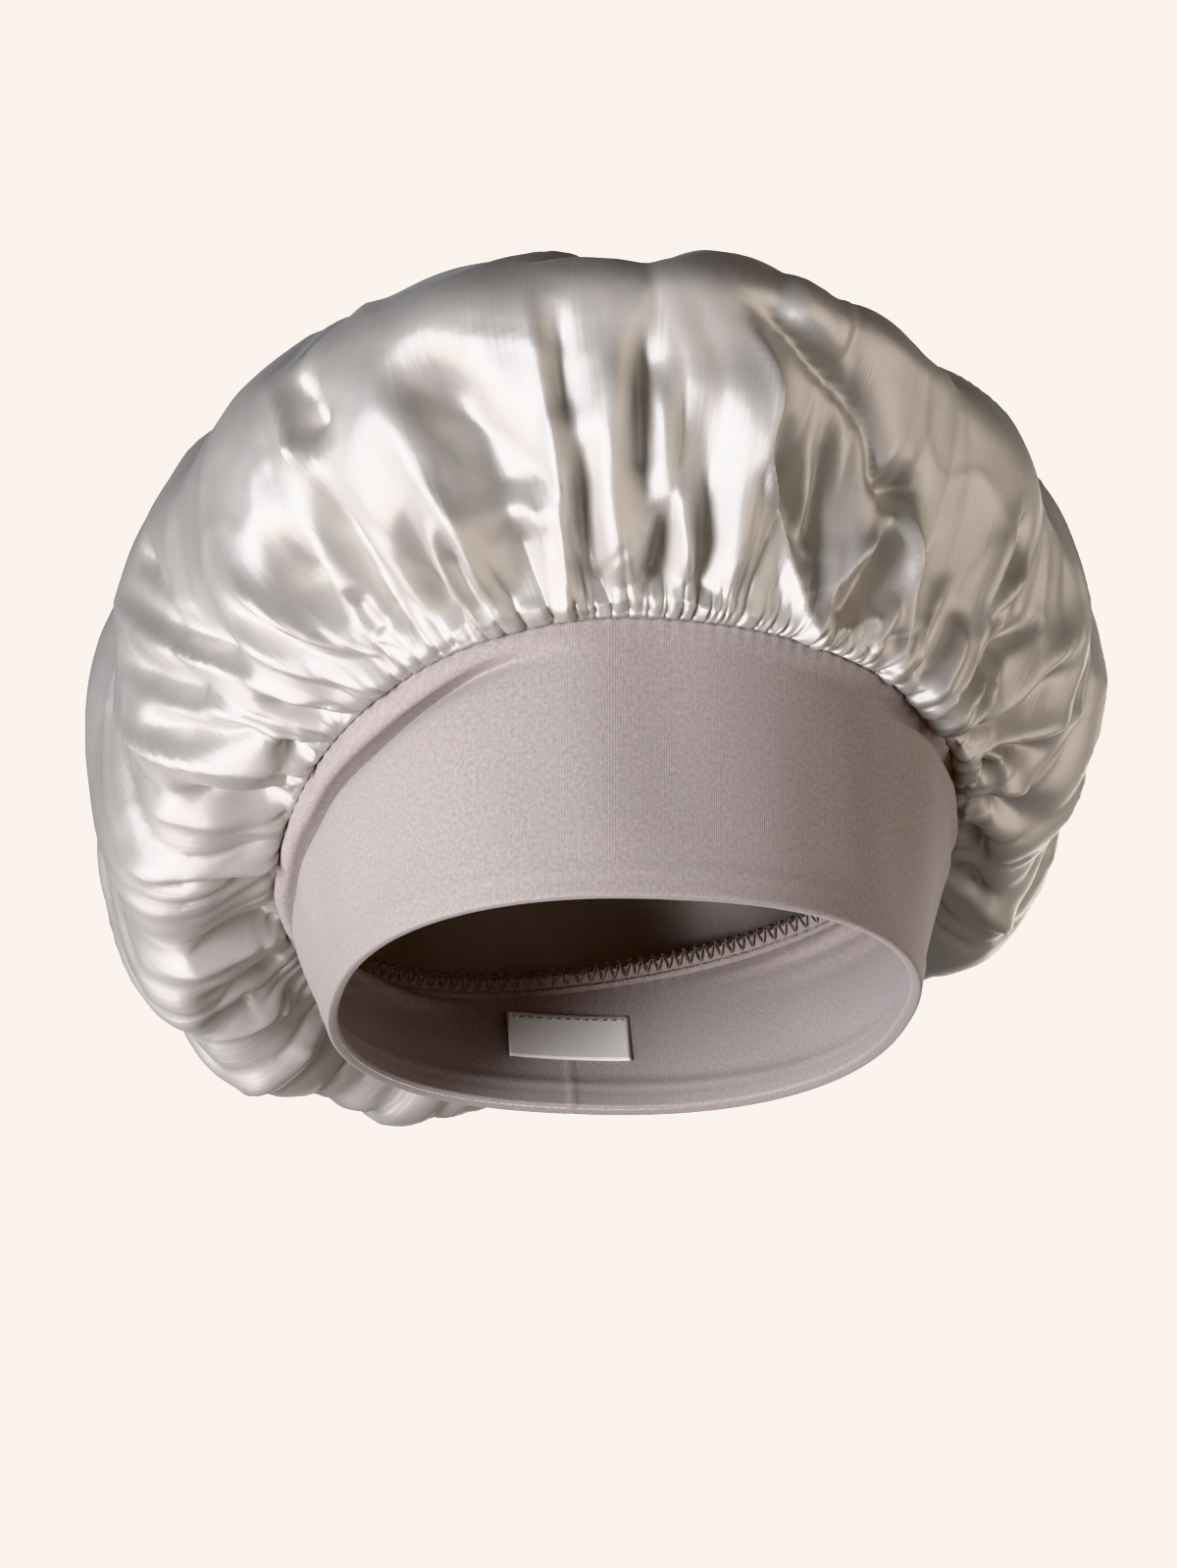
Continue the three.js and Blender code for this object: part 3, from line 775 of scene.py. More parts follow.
@dataclass
class Crown:
    """The puffed satin crown, gathered into the band all round."""

    opening: HeadOpening
    camera: PhotoCamera
    half_width: float = 134.5
    half_depth: float = 133.0
    squareness: float = 1.95
    centre: tuple[float, float] = (-7.5, 10.5)
    # The height of the widest ring, and how far its three soft corners stand out.
    height: Round = Round(150.0, 97.0, 42.5, 94.0, 4.0)
    corner_front: float = 5.2
    corner_side: float = -4.5
    top: tuple[float, float, float] = (8.0, 42.0, 184.3)
    # The angle below level at which the cloth leaves the seam, how full its curve is, and
    # the share of the way to the top at which it is widest.
    droop: Round = Round(-0.16, 0.86, 0.83, 0.51, 0.26)
    fullness: Round = Round(0.24, 0.59, 1.43, 0.84)
    lobe_share: float = 0.35
    # How strongly the two cubics leave and reach their ends: shares, and millimetres more.
    leave_pull: Span = (0.55, 18.0)
    arrive_pull: Span = (0.62, 22.0)
    dome_steepness: float = 0.6
    dome_flatness: float = 0.62
    # The main folds: how deep they are at the seam and how much deeper they get, the share
    # of the way to the top at which they are full, and how fast they fade after it.
    main_depths: Span = (1.2, 5.8)
    fold_full_share: float = 0.22
    fold_fade: int = 6
    fold_shares: Round = Round(0.45, 0.9, 1.0, 0.9)
    # How far the columns swing sideways on their way, in radians.
    sway: float = 0.1
    thickness: float = 0.35
    # The columns stand closer together towards the front, by the crowding share.
    crowding: float = 0.35
    zones: tuple[Zone, ...] = (
        Zone(6.0, 0.75, 1040, 520, 4),
        Zone(26.0, 1.25, 1040, 520, 3),
        Zone(110.0, 2.0, 520, 260, 3),
        Zone(190.0, 2.8, 520, 260, 2),
        Zone(264.0, 4.6, 260, 130, 1),
    )
    # From the longest to the shortest. Those of the first rank lie in the valleys of the
    # main folds, and are as many.
    ranks: tuple[Gathers, ...] = (
        Gathers(15, 180.0, 5.5, 6.0),
        Gathers(28, 150.0, 4.6, 4.2),
        Gathers(40, 85.0, 3.2, 2.3),
        Gathers(47, 24.0, 1.5, 1.2),
    )
    # Where folds meet, what goes deeper than the free depth is drawn in less and less.
    free_depth: float = 7.0
    spare_depth: float = 3.0
    # The photograph's folds, against the sizes in their list. None is higher than its width
    # times the steepest ratio.
    ridge_height: float = 1.35
    crease_depth: float = 2.2
    traced_width: float = 0.85
    steepest: float = 2.3
    # A fold's line is laid on the cloth's points that lie nearest to it in the photograph.
    nearest: int = 8
    # So many widths from its line a traced fold has almost no height left.
    traced_reach: float = 4.5
    # The beads between the needle's stitches, right at the seam.
    beads: int = 130
    bead_depth: float = 4.0
    bead_reach: float = 4.0
    # The cloth bulges a little just above the seam.
    rim_height: float = 2.3
    # How far from the seam the hem's rows end, and how much the gathers thicken the hem.
    hem_end: float = 1.2
    hem_bunching: float = 0.35
    # The folds fade out from this share of the way to the top.
    fold_end_share: float = 0.86
    # The ridges stand out of the smooth puff, and its lower side hangs out further still.
    ridge_rise: float = 2.0
    low_swell: float = 3.2
    low_swell_end_share: float = 0.45
    # The flat disc's radius, and the length of its edge between two of the finest columns.
    cut_radius: float = 265.0
    edge_pitch: float = 1.6

    @property
    def length(self) -> float:
        """The length of the cloth from the seam to the top."""
        return self.zones[-1].end

    @property
    def finest(self) -> int:
        """The number of columns at the seam, the largest."""
        return self.zones[0].columns

    def smooth(self, angle: Array, share: Array) -> Array:
        """Returns the cloth without its folds.

        From the seam one cubic leaves at the droop angle and swells to the widest ring,
        and a second one closes over the top.

        Args:
            angle: Angles round the head.
            share: The way from the seam, 0, over the widest ring to the top, 1.

        Returns:
            Points with a last axis of length 3.
        """
        direction = np.stack([np.sin(angle), -np.cos(angle), np.zeros_like(angle)], axis=-1)
        clear = np.full_like(angle, self.opening.clearance)
        seam = self.opening.allowance(angle, np.zeros_like(angle), clear)
        ring = rounded_oval(self.half_width, self.half_depth, self.squareness, angle)
        length = np.linalg.norm(ring, axis=-1, keepdims=True)
        corner = self.corner_front * np.cos(3 * angle) + self.corner_side * np.sin(3 * angle)
        ring = ring / length * (length + corner[..., None]) + np.array(self.centre)
        widest = np.concatenate([ring, self.height.at(angle)[..., None]], axis=-1)
        top = np.broadcast_to(np.array(self.top), widest.shape)
        gap = np.linalg.norm(widest[..., :2] - seam[..., :2], axis=-1)
        rise = np.abs(widest[..., 2] - seam[..., 2])
        full, droop = self.fullness.at(angle), self.droop.at(angle)
        out = (self.leave_pull[0] * gap + self.leave_pull[1]) * full
        leave = seam + direction * (out * np.cos(droop))[..., None]
        leave[..., 2] -= out * np.sin(droop)
        arrive = widest.copy()
        arrive[..., 2] -= (self.arrive_pull[0] * rise + self.arrive_pull[1]) * full
        lobe = cubic(seam, leave, arrive, widest, np.clip(share / self.lobe_share, 0, 1))
        steep = widest.copy()
        steep[..., 2] += self.dome_steepness * (top[..., 2] - widest[..., 2])
        reach = top + self.dome_flatness * (widest - top)
        reach[..., 2] = top[..., 2]
        past = np.clip((share - self.lobe_share) / (1 - self.lobe_share), 0, 1)
        dome = cubic(widest, steep, reach, top, past)
        return np.where((share <= self.lobe_share)[..., None], lobe, dome)

    def even_angle(self, column: Array) -> Array:
        """Returns the angles of the finest columns on the flat cloth, crowded to the front."""
        turn = column * TURN / self.finest
        return turn - self.crowding * np.sin(turn)

    def rows(self) -> tuple[Array, Array]:
        """Returns the rows' distances from the seam and their zones, without the top point."""
        parts, start = [], 0.0
        for zone in self.zones:
            count = max(2, round((zone.end - start) / zone.row_step))
            parts.append(np.linspace(start, zone.end, count, endpoint=False))
            start = zone.end
        numbers = [np.full(len(part), number) for number, part in enumerate(parts)]
        return np.concatenate(parts), np.concatenate(numbers)

    def base(self, even: Array, distance: Array) -> Array:
        """Returns the smooth cloth at each row's distance along its own column.

        Args:
            even: Angles of the columns on the flat cloth.
            distance: Distances from the seam, out of the last zone's end.

        Returns:
            Points by row and column.
        """
        share = np.linspace(0, 1, 321)[:, None]
        turn = self.sway * np.sin(2 * even + 0.8) * share * (1 - share) * 4
        line = self.smooth(column_angle(even) + turn, np.broadcast_to(share, turn.shape).copy())
        steps = np.linalg.norm(np.diff(line, axis=0), axis=-1)
        along = np.concatenate([np.zeros((1, len(even))), np.cumsum(steps, axis=0)])
        along /= along[-1]
        wanted = distance / self.length
        columns = np.arange(len(even))
        low = np.stack([np.searchsorted(along[:, c], wanted, side="right") - 1 for c in columns], axis=-1)
        low = np.clip(low, 0, len(share) - 2)
        start, end = along[low, columns], along[low + 1, columns]
        part = ((wanted[:, None] - start) / (end - start))[..., None]
        return line[low, columns] * (1 - part) + line[low + 1, columns] * part

    def normals(self, grid: Array) -> Array:
        """Returns the outward directions of a grid of rows and looped columns."""
        along = np.gradient(grid, axis=0)
        across = np.roll(grid, -1, axis=1) - np.roll(grid, 1, axis=1)
        return unit(np.cross(across, along))

    def main_folds(self, even: Array, distance: Array, keep: Array) -> Array:
        """Returns the depth of the fifteen main folds.

        Each is a valley of one cosine, and they differ in depth. They deepen soon after the
        seam and fade out towards the top.

        Args:
            even: Columns' angles, by row and column.
            distance: Distances from the seam, by row and column.
            keep: How much the valleys differ from the ridges, by row and column.

        Returns:
            Depths in millimetres.
        """
        share = np.clip(distance / self.length, 0, 1)
        rise = np.minimum(share / self.fold_full_share, 1)
        past = np.clip((share - self.fold_full_share) / (1 - self.fold_full_share), 0, 1)
        fade = np.cos(past * math.pi / 2) ** self.fold_fade
        valley = (1 - keep * np.cos(self.ranks[0].count * even)) / 2
        uneven = 1 + 0.2 * np.sin(3 * even + 0.5) + 0.12 * np.sin(7 * even + 1.3)
        start, more = self.main_depths
        return valley * uneven * (start + more * rise * self.fold_shares.at(even)) * fade

    def gather_places(self, rng: np.random.Generator) -> tuple[Array, Array]:
        """Spreads the gathers round the seam and ranks them, the longest ones first.

        Args:
            rng: The source of the random draws.

        Returns:
            The gathers' angles on the flat cloth, and the numbers of their ranks.
        """
        total, last = sum(gathers.count for gathers in self.ranks), len(self.ranks) - 1
        places = (np.arange(total) + rng.uniform(-0.3, 0.3, total)) * TURN / total
        ranks = np.full(total, last)
        for rank, gathers in enumerate(self.ranks[:-1]):
            count = gathers.count
            free = np.flatnonzero(ranks == last)
            picks = np.linspace(0, len(free), count, endpoint=False)
            picks = picks + rng.uniform(0, len(free) / count, count) * 0.7
            picked = free[picks.astype(int) % len(free)]
            if rank == 0:
                valleys = (np.arange(count) + 0.5) * TURN / count
                turns = turn_between(valleys, places[:, None])
                picked = np.abs(turns).argmin(axis=0)
                places[picked] = valleys + rng.uniform(-0.03, 0.03, count)
            ranks[picked] = rank
        return places, ranks

    def gathers(self, even: Array, distance: Array, spread: Array, calm: Array) -> Array:
        """Returns the depth of the gathers that run from the seam.

        Every gather is a crease between two small lobes. A short one leans towards the
        next longer one and dies out where they meet, so that many at the seam become few
        in the crown. A crease's depth falls off on both sides as an exponential, and
        rises and falls along it as a sine.

        Args:
            even: Columns' angles, by row and column.
            distance: Distances from the seam, by row and column.
            spread: Millimetres of cloth for one radian, by row and column.
            calm: How much of the longer gathers is left, by row and column.

        Returns:
            Depths in millimetres.
        """
        rng = np.random.default_rng(11)
        places, ranks = self.gather_places(rng)
        depth = np.zeros_like(distance)
        for place, rank in zip(places, ranks):
            gathers = self.ranks[rank]
            reach = gathers.reach * rng.uniform(0.7, 1.15)
            rows = distance[:, 0] < reach
            longer = places[ranks < rank] if rank else np.array([place + rng.uniform(-0.05, 0.05)])
            turns = turn_between(place, longer)
            lean = turns[np.abs(turns).argmin()]
            share = distance[rows] / reach
            middle = place + lean * smooth_step(share, 0.15, 1.05)
            swing = np.sin(share * rng.uniform(3, 7) + rng.uniform(0, TURN))
            middle = middle + 0.012 * (1 + rank) * swing * share
            off = np.abs(turn_between(middle, even[rows])) * spread[rows]
            width = gathers.width * rng.uniform(0.75, 1.3) * (0.55 + 0.9 * share)
            along = (0.45 + 0.55 * smooth_step(share, 0.0, 0.22)) * (1 - smooth_step(share, 0.45, 1.0))
            strength = gathers.depth * rng.uniform(0.6, 1.25)
            keep = calm[rows] if rank < 2 else 0.5 + 0.5 * calm[rows]
            depth[rows] += strength * along * keep * np.exp(-off / width)
        return depth

    def laid(self, fold: Fold, cloth: Array, spots: Array) -> Array:
        """Lays a fold's pixels on the smooth cloth.

        Args:
            fold: The fold.
            cloth: Points of the cloth that the camera sees.
            spots: Their pixels.

        Returns:
            Points of the fold's smooth path over the cloth.
        """
        line = curve_through(np.array(fold.line, dtype=float), 3)
        gaps = np.linalg.norm(spots[None] - line[:, None], axis=-1)
        close = np.argpartition(gaps, self.nearest, axis=1)[:, : self.nearest]
        weights = 1 / (np.take_along_axis(gaps, close, axis=1) + 1.0) ** 2
        path = (cloth[close] * weights[..., None]).sum(axis=1) / weights.sum(axis=1)[:, None]
        for _ in range(3):
            path[1:-1] = (path[:-2] + 2 * path[1:-1] + path[2:]) / 4
        return curve_through(path, 4)

    def relief(self, fold: Fold, path: Array, points: Array) -> Array:
        """Returns how far a fold stands out at points near its path.

        Its height falls off with the distance from the path and towards the path's ends.

        Args:
            fold: The fold.
            path: Points of its path.
            points: Points of the smooth cloth.

        Returns:
            Heights in millimetres, below zero for a crease.
        """
        start, run = path[:-1], np.diff(path, axis=0)
        size = np.maximum((run**2).sum(axis=-1), 1e-6)
        share = np.clip(np.einsum("psk,sk->ps", points[:, None] - start, run) / size, 0, 1)
        off = np.linalg.norm(points[:, None] - start - share[..., None] * run, axis=-1)
        best, pick = off.argmin(axis=1), np.arange(len(points))
        along = (best + share[pick, best]) / len(run)
        ends = smooth_step(along, -0.02, 0.42) * smooth_step(1 - along, -0.12, 0.16)
        width = self.traced_width * fold.width
        scale = self.ridge_height if fold.side is Side.RIDGE else self.crease_depth
        height = min(scale * fold.height, self.steepest * width)
        away = np.sqrt(off[pick, best] ** 2 + (0.2 * width) ** 2) - 0.2 * width
        shape = np.exp(-((away / width) ** fold.sharpness))
        uneven = 1 + 0.22 * ripples(points, 38.0, 17)
        return fold.side.value * height * ends * shape * uneven

    def traced(self, base: Array, normals: Array) -> tuple[Array, Array]:
        """Raises the folds that the photograph shows, where its camera sees them.

        Args:
            base: Points of the smooth cloth, by row and column.
            normals: Outward directions there.

        Returns:
            Heights in millimetres, and the cosines of the angles to the camera.
        """
        towards = unit(self.camera.eye - base)
        facing = np.einsum("rck,rck->rc", towards, normals)
        seen = facing > 0.06
        cloth, spots = base[seen], self.camera.pixels(base)[seen]
        raised = np.zeros(base.shape[:2])
        for fold in FRONT_FOLDS:
            path = self.laid(fold, cloth, spots)
            room = self.traced_reach * self.traced_width * fold.width
            near = np.all((base > path.min(axis=0) - room) & (base < path.max(axis=0) + room), axis=-1)
            raised[near] += self.relief(fold, path, base[near])
        return raised * smooth_step(facing, 0.04, 0.28), facing

    def billow(self, base: Array, even: Array, distance: Array) -> Array:
        """Returns the unevenness of the cloth between its folds.

        It is a few broad swells, and long narrow ones that run with the folds, some of
        which end in a sharp line of tension.

        Args:
            base: Points of the smooth cloth, by row and column.
            even: Columns' angles, by row and column.
            distance: Distances from the seam, by row and column.

        Returns:
            Distances in millimetres.
        """
        flat = np.stack([120 * np.sin(even), 120 * np.cos(even), 0.27 * distance], axis=-1)
        swells = 0.4 * ripples(base, 70.0, 5) + 0.6 * ripples(flat, 40.0, 6) + 0.35 * ripples(flat, 20.0, 7)
        lines = np.clip(1 - 1.5 * np.abs(ripples(flat, 34.0, 9)), 0, 1) ** 1.5
        short = np.clip(1 - 1.6 * np.abs(ripples(flat * np.array([1, 1, 1.6]), 19.0, 10)), 0, 1) ** 1.5
        kept = smooth_step(distance, 12.0, 50.0) * (1 - smooth_step(distance, 120.0, 225.0))
        near_seam = 1 - smooth_step(distance, 60.0, 120.0)
        return kept * (swells + 1.4 * lines + 0.7 * short * near_seam - 0.7)

    def folds(self, base: Array, normals: Array, even: Array, rows: Array) -> Array:
        """Returns how far the folded cloth stands outward of the smooth cloth.

        Args:
            base: Points of the smooth cloth, by row and column.
            normals: Outward directions there.
            even: The columns' angles on the flat cloth.
            rows: The rows' distances from the seam.

        Returns:
            Distances in millimetres, by row and column.
        """
        evens = np.broadcast_to(even, base.shape[:2])
        distance = np.broadcast_to(rows[:, None], base.shape[:2])
        steps = (np.roll(even, -1) - np.roll(even, 1)) % TURN
        spread = np.linalg.norm(np.roll(base, -1, axis=1) - np.roll(base, 1, axis=1), axis=-1) / steps
        raised, facing = self.traced(base, normals)
        drift = 0.028 * ripples(base, 120.0, 3) * smooth_step(distance, 10.0, 90.0)
        shown, framed = smooth_step(facing, -0.05, 0.3), smooth_step(facing, -0.4, 0.1)
        calm = 1 - 0.7 * shown * smooth_step(distance, 4.0, 22.0)
        calm = calm - 0.2 * shown * smooth_step(distance, 60.0, 110.0)
        keep = 1 - 0.7 * framed * smooth_step(distance, 20.0, 75.0)
        inward = self.main_folds(evens + drift, distance, keep)
        inward = inward + self.gathers(evens + drift, distance, spread, calm)
        billow = self.billow(base, evens, distance) * (1 - 0.45 * shown)
        held = 1 - np.exp(-distance / 1.1)
        rim = self.rim_height * np.exp(-(((distance - 3.0) / 5.0) ** 2))
        wander = self.beads * evens + 1.6 * np.sin(11 * evens + 1.0) + 1.1 * np.sin(23 * evens)
        pit = np.clip(np.cos(wander), 0, 1) ** 4 * (0.8 + 0.35 * np.sin(17 * evens + 2.0))
        inward = inward + self.bead_depth * pit * np.exp(-distance / self.bead_reach)
        over = np.maximum(inward - self.free_depth, 0)
        spare = self.spare_depth * (1 - np.exp(-over / self.spare_depth))
        inward = np.minimum(inward, self.free_depth) + spare
        fade = 1 - smooth_step(distance, self.fold_end_share * self.length, self.length)
        return held * (raised + billow + rim + self.ridges(evens, distance) - inward) * fade

    def ridges(self, even: Array, distance: Array) -> Array:
        """Returns how far the ridges between the folds stand out of the smooth puff.

        They rise evenly from the seam to their full height. The swell of the lower half is
        one half wave along the cloth, and is greatest at the back and none at the front.

        Args:
            even: Columns' angles, by row and column.
            distance: Distances from the seam, by row and column.

        Returns:
            Distances in millimetres.
        """
        share = np.clip(distance / self.length, 0, 1)
        rise = np.minimum(share / self.fold_full_share, 1)
        low = np.sin(math.pi * np.minimum(share / self.low_swell_end_share, 1))
        return self.ridge_rise * rise + self.low_swell * low * (1 - np.cos(column_angle(even))) / 2

    def hem(self, even: Array, lift: float) -> Array:
        """Returns the rows of the gathered raw edge, from the edge to beside the seam.

        Args:
            even: The columns' angles on the flat cloth.
            lift: Height over the side that lies on the band.

        Returns:
            Points by row and column.
        """
        along = np.linspace(self.opening.allowance_width, self.hem_end, 4)[:, None]
        bunched = self.hem_bunching * (1 - np.cos(self.beads * even)) / 2
        above = self.opening.clearance + lift + bunched * along / self.opening.allowance_width
        angle = np.broadcast_to(column_angle(even), above.shape)
        return self.opening.allowance(angle, np.broadcast_to(along, above.shape), above)

    def web(
        self, grid: Array, distance: Array, zones: list[tuple[Array, int]], first: int, top: Array
    ) -> tuple[Array, list[Array], list[Array]]:
        """Joins rows of a grid into one skin, with fewer columns from zone to zone.

        Where the columns get fewer, each face has the finer row's extra points on its
        lower side. The last row closes on the top point.

        Args:
            grid: Points by row and finest column.
            distance: The rows' distances from the seam.
            zones: Row numbers and the number of columns, for each zone.
            first: Number of the skin's first point.
            top: The top point.

        Returns:
            Points, and the faces' corners and their places on the flat cloth.
        """
        points, corners, uv = [], [], []
        last_first, last_columns, last_row = first, zones[0][1], 0

        def flat(column: Array, heights: Array) -> Array:
            """Returns places on the flat cloth: round its edge, and in from it."""
            across = self.even_angle(column) * self.cut_radius
            return np.stack([across, np.broadcast_to(heights, across.shape)], axis=-1)

        for number, (picked, columns) in enumerate(zones):
            step = self.finest // columns
            points.append(grid[picked][:, ::step].reshape(-1, 3))
            faces, places = ring_faces(first, len(picked), columns)
            corners.append(faces)
            uv.append(flat(places[..., 0] * step, distance[picked][places[..., 1].astype(int)]))
            if number:
                merge = last_columns // columns
                column = np.arange(columns)[:, None]
                below = merge * column + np.arange(merge + 1)
                above = column + np.array([1, 0])
                strip = [last_first + below % last_columns, first + above % columns]
                corners.append(np.concatenate(strip, axis=1))
                heights = np.array([distance[last_row]] * (merge + 1) + [distance[picked[0]]] * 2)
                uv.append(flat(np.concatenate([below * step / merge, above * step], axis=1), heights))
            last_first = first + (len(picked) - 1) * columns
            last_columns, last_row = columns, picked[-1]
            first += len(picked) * columns
        points.append(top[None])
        column = np.arange(last_columns)
        fan = [last_first + column, last_first + (column + 1) % last_columns, np.full_like(column, first)]
        corners.append(np.stack(fan, axis=1))
        step = self.finest // last_columns
        tip = np.stack([column, column + 1, column + 0.5], axis=1) * step
        uv.append(flat(tip, np.array([distance[last_row], distance[last_row], self.length])))
        return np.concatenate(points), corners, uv

    def lowest_near(self, out: Array, zone: Array) -> Array:
        """Returns the lowest cloth near each point, so that a coarser lining stays under it."""
        lowest = out.copy()
        for number, part in enumerate(self.zones):
            reach, stride = self.finest // part.lining_columns, part.lining_stride
            near = out.copy()
            for shift in range(-reach, reach + 1):
                near = np.minimum(near, np.roll(out, shift, axis=1))
            padded = np.pad(near, ((stride, stride), (0, 0)), mode="edge")
            for shift in range(2 * stride + 1):
                near = np.minimum(near, padded[shift : shift + len(out)])
            lowest[zone == number] = near[zone == number]
        return lowest

    def build(self) -> Piece:
        """Makes the crown's cloth: its face, and under it the lining side, closed at the edge.

        Returns:
            The crown.
        """
        count = self.finest
        even = self.even_angle(np.arange(count))
        rows, zone = self.rows()
        base = self.base(even, rows)
        normals = self.normals(base)
        out = self.folds(base, normals, even, rows)
        under = self.lowest_near(out, zone) - self.thickness
        hem = self.hem(even, 0.0)
        edge = len(hem)
        before = np.linspace(-self.opening.allowance_width, -self.hem_end, edge)
        distance = np.concatenate([before, rows])
        face_grid = np.concatenate([hem, base + normals * out[..., None]])
        back_grid = np.concatenate([self.hem(even, self.thickness), base + normals * under[..., None]])
        hem_rows = np.arange(edge)
        picked = [edge + np.flatnonzero(zone == number) for number in range(len(self.zones))]
        face_zones = [(own, part.columns) for own, part in zip(picked, self.zones)]
        face_zones[0] = (np.concatenate([hem_rows, picked[0]]), count)
        back_zones = [(hem_rows, count)]
        for own, part in zip(picked, self.zones):
            back_zones.append((own[:: part.lining_stride], part.lining_columns))
        top = np.array(self.top)
        points, corners, uv = self.web(face_grid, distance, face_zones, 0, top)
        below = top - np.array([0.0, 0.0, self.thickness])
        back_points, back_corners, back_uv = self.web(back_grid, distance, back_zones, len(points), below)
        column = np.arange(count)
        after = (column + 1) % count
        rim = np.stack([column, len(points) + column, len(points) + after, after], axis=1)
        width = np.full(count, -self.opening.allowance_width)
        rim_uv = np.stack([column * self.edge_pitch, width], axis=-1)
        crown = mesh_piece(
            "crown_cloth",
            np.concatenate([points, back_points]),
            [*corners, rim, *[group[:, ::-1] for group in back_corners]],
            [*uv, np.repeat(rim_uv[:, None], 4, axis=1), *[group[:, ::-1] for group in back_uv]],
        )
        faces = sum(len(group) for group in corners)
        sides = np.ones(len(crown.data.polygons), dtype=np.int32)
        sides[:faces] = 0
        crown.data.materials.append(SATIN.make())
        crown.data.materials.append(SATIN_BACK.make())
        crown.data.polygons.foreach_set("material_index", sides)
        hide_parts("crown_panel")
        return crown


@dataclass
class Band:
    """The wide knit band: one strip folded double, with elastic loose in its lower fold."""

    opening: HeadOpening
    columns: int = 480
    girth: float = 540.0
    # How far the face is tucked in and folded over below the seam.
    tuck: Round = Round(0.0, 0.75, 0.0, 1.0)
    # The fold that holds the elastic is wider than the rest, and closes over this much.
    channel_height: float = 7.5
    channel_gap: float = 1.6
    channel_close: float = 3.5
    foot_radius: float = 0.9
    steps: int = 4
    puckers: int = 130
    pucker: float = 0.22
    pucker_reach: float = 2.5

    def face(self, angle: Array) -> Array:
        """Returns the outer face's upright section at each angle.

        Its height is a share of the seam's. On the wearer's right the face turns in below
        the seam and a narrow strip folds down over it. On the wearer's left the fold is
        softer, with two creases.

        Args:
            angle: Angles round the head.

        Returns:
            Reach outward and height, by angle and section point.
        """
        height, flare = self.opening.seam_height.at(angle), self.opening.seam_flare.at(angle)
        tuck = smooth_step(self.tuck.at(angle), 0.05, 0.6)
        soft = np.clip(np.sin(angle), 0, 1)
        # Each list runs from the lower edge up to the seam. The shares are of the seam's
        # height, and the others are millimetres outward and upward.
        low_shares = [0, 0.08, 0.17, 0.3, 0.45, 0.6, 0.7, 0.78, 0.84, 0.875]
        soft_shares = np.array([*low_shares, 0.9, 0.925, 0.955, 0.98, 1])
        side_shares = np.array([*low_shares, 0.885, 0.876, 0.866, 0.91, 1])
        near_low_shares = [0, 0.08, 0.17, 0.3, 0.47, 0.64, 0.76, 0.85, 0.9, 0.929]
        near_shares = np.array([*near_low_shares, 0.938, 0.931, 0.922, 0.95, 1])
        sharp_out = np.array([0, 0, 0, 0, 0.2, 0.2, -0.3, -1.6, -4.2, -6.8, -7.2, -3.2, -0.2, 1.4, 0.0])
        soft_out = np.array([0, 0, 0, 0, 0.3, 0.8, 1.5, 0.7, 1.9, 1.3, -0.8, -3.0, -2.4, -1.0, 0.0])
        soft_up = np.array([0, 0, 0, 0, 0, 0, 0, 0.0, 0.4, 0.9, 0.5, -0.3, 0.0, 0.0, 0.0])
        out = sharp_out + (soft_out - sharp_out) * soft[:, None]
        up = soft_up * soft[:, None]
        side = smooth_step(-np.sin(angle), 0.5, 1.0)[:, None]
        sharp_shares = near_shares + (side_shares - near_shares) * side
        shares = soft_shares + (sharp_shares - soft_shares) * ((1 - soft) * tuck)[:, None]
        foot = np.maximum(shares, self.foot_radius / height[:, None])
        reach = flare[:, None] * foot + out * tuck[:, None]
        level = height[:, None] * foot + up * tuck[:, None]
        section = np.stack([reach, level], axis=-1)
        width, lean = self.opening.allowance_width, self.opening.allowance_angle
        # The allowance has a point at a third of its width and one at the raw edge.
        inward = np.array([[-math.cos(lean), math.sin(lean)]]) * np.array([[0.35], [1.0]]) * width
        edge = section[:, -1:] + inward
        return curve_through(np.concatenate([section, edge], axis=1), self.steps)

    def inset(self, line: Array, depth: Array) -> Array:
        """Returns section lines moved inward by a depth, square to their smoothed run."""
        run = np.gradient(line, axis=1)
        side = np.stack([-run[..., 1], run[..., 0]], axis=-1)
        for _ in range(4):
            side[:, 1:-1] = (side[:, :-2] + 2 * side[:, 1:-1] + side[:, 2:]) / 4
        return line + unit(side) * depth[..., None]

    def sections(self, angle: Array) -> Array:
        """Returns the closed section: up the outer face, down between the plies and back.

        Args:
            angle: Angles round the head.

        Returns:
            Reach outward and height, by angle and section point.
        """
        face = self.face(angle)
        knit = self.opening.knit
        closed = self.channel_height + self.channel_close
        step = smooth_step(face[..., 1], self.channel_height, closed)
        gap = self.channel_gap + (self.opening.ply_gap - self.channel_gap) * step
        between = self.inset(face, np.full_like(gap, knit))
        behind = self.inset(face, knit + gap)
        back = self.inset(face, 2 * knit + gap)
        turn = np.linspace(0, math.pi / 2, 5)[1:]
        radius = self.foot_radius
        outer_foot = face[:, :1] + radius * np.stack([np.cos(turn) - 1, -np.sin(turn)], axis=-1)
        inner_foot = back[:, :1] + radius * np.stack([1 - np.cos(turn), -np.sin(turn)], axis=-1)
        lining = np.concatenate([between[:, ::-1], behind], axis=1)
        return np.concatenate(
            [outer_foot[:, ::-1], face, lining, back[:, ::-1], inner_foot], axis=1
        )

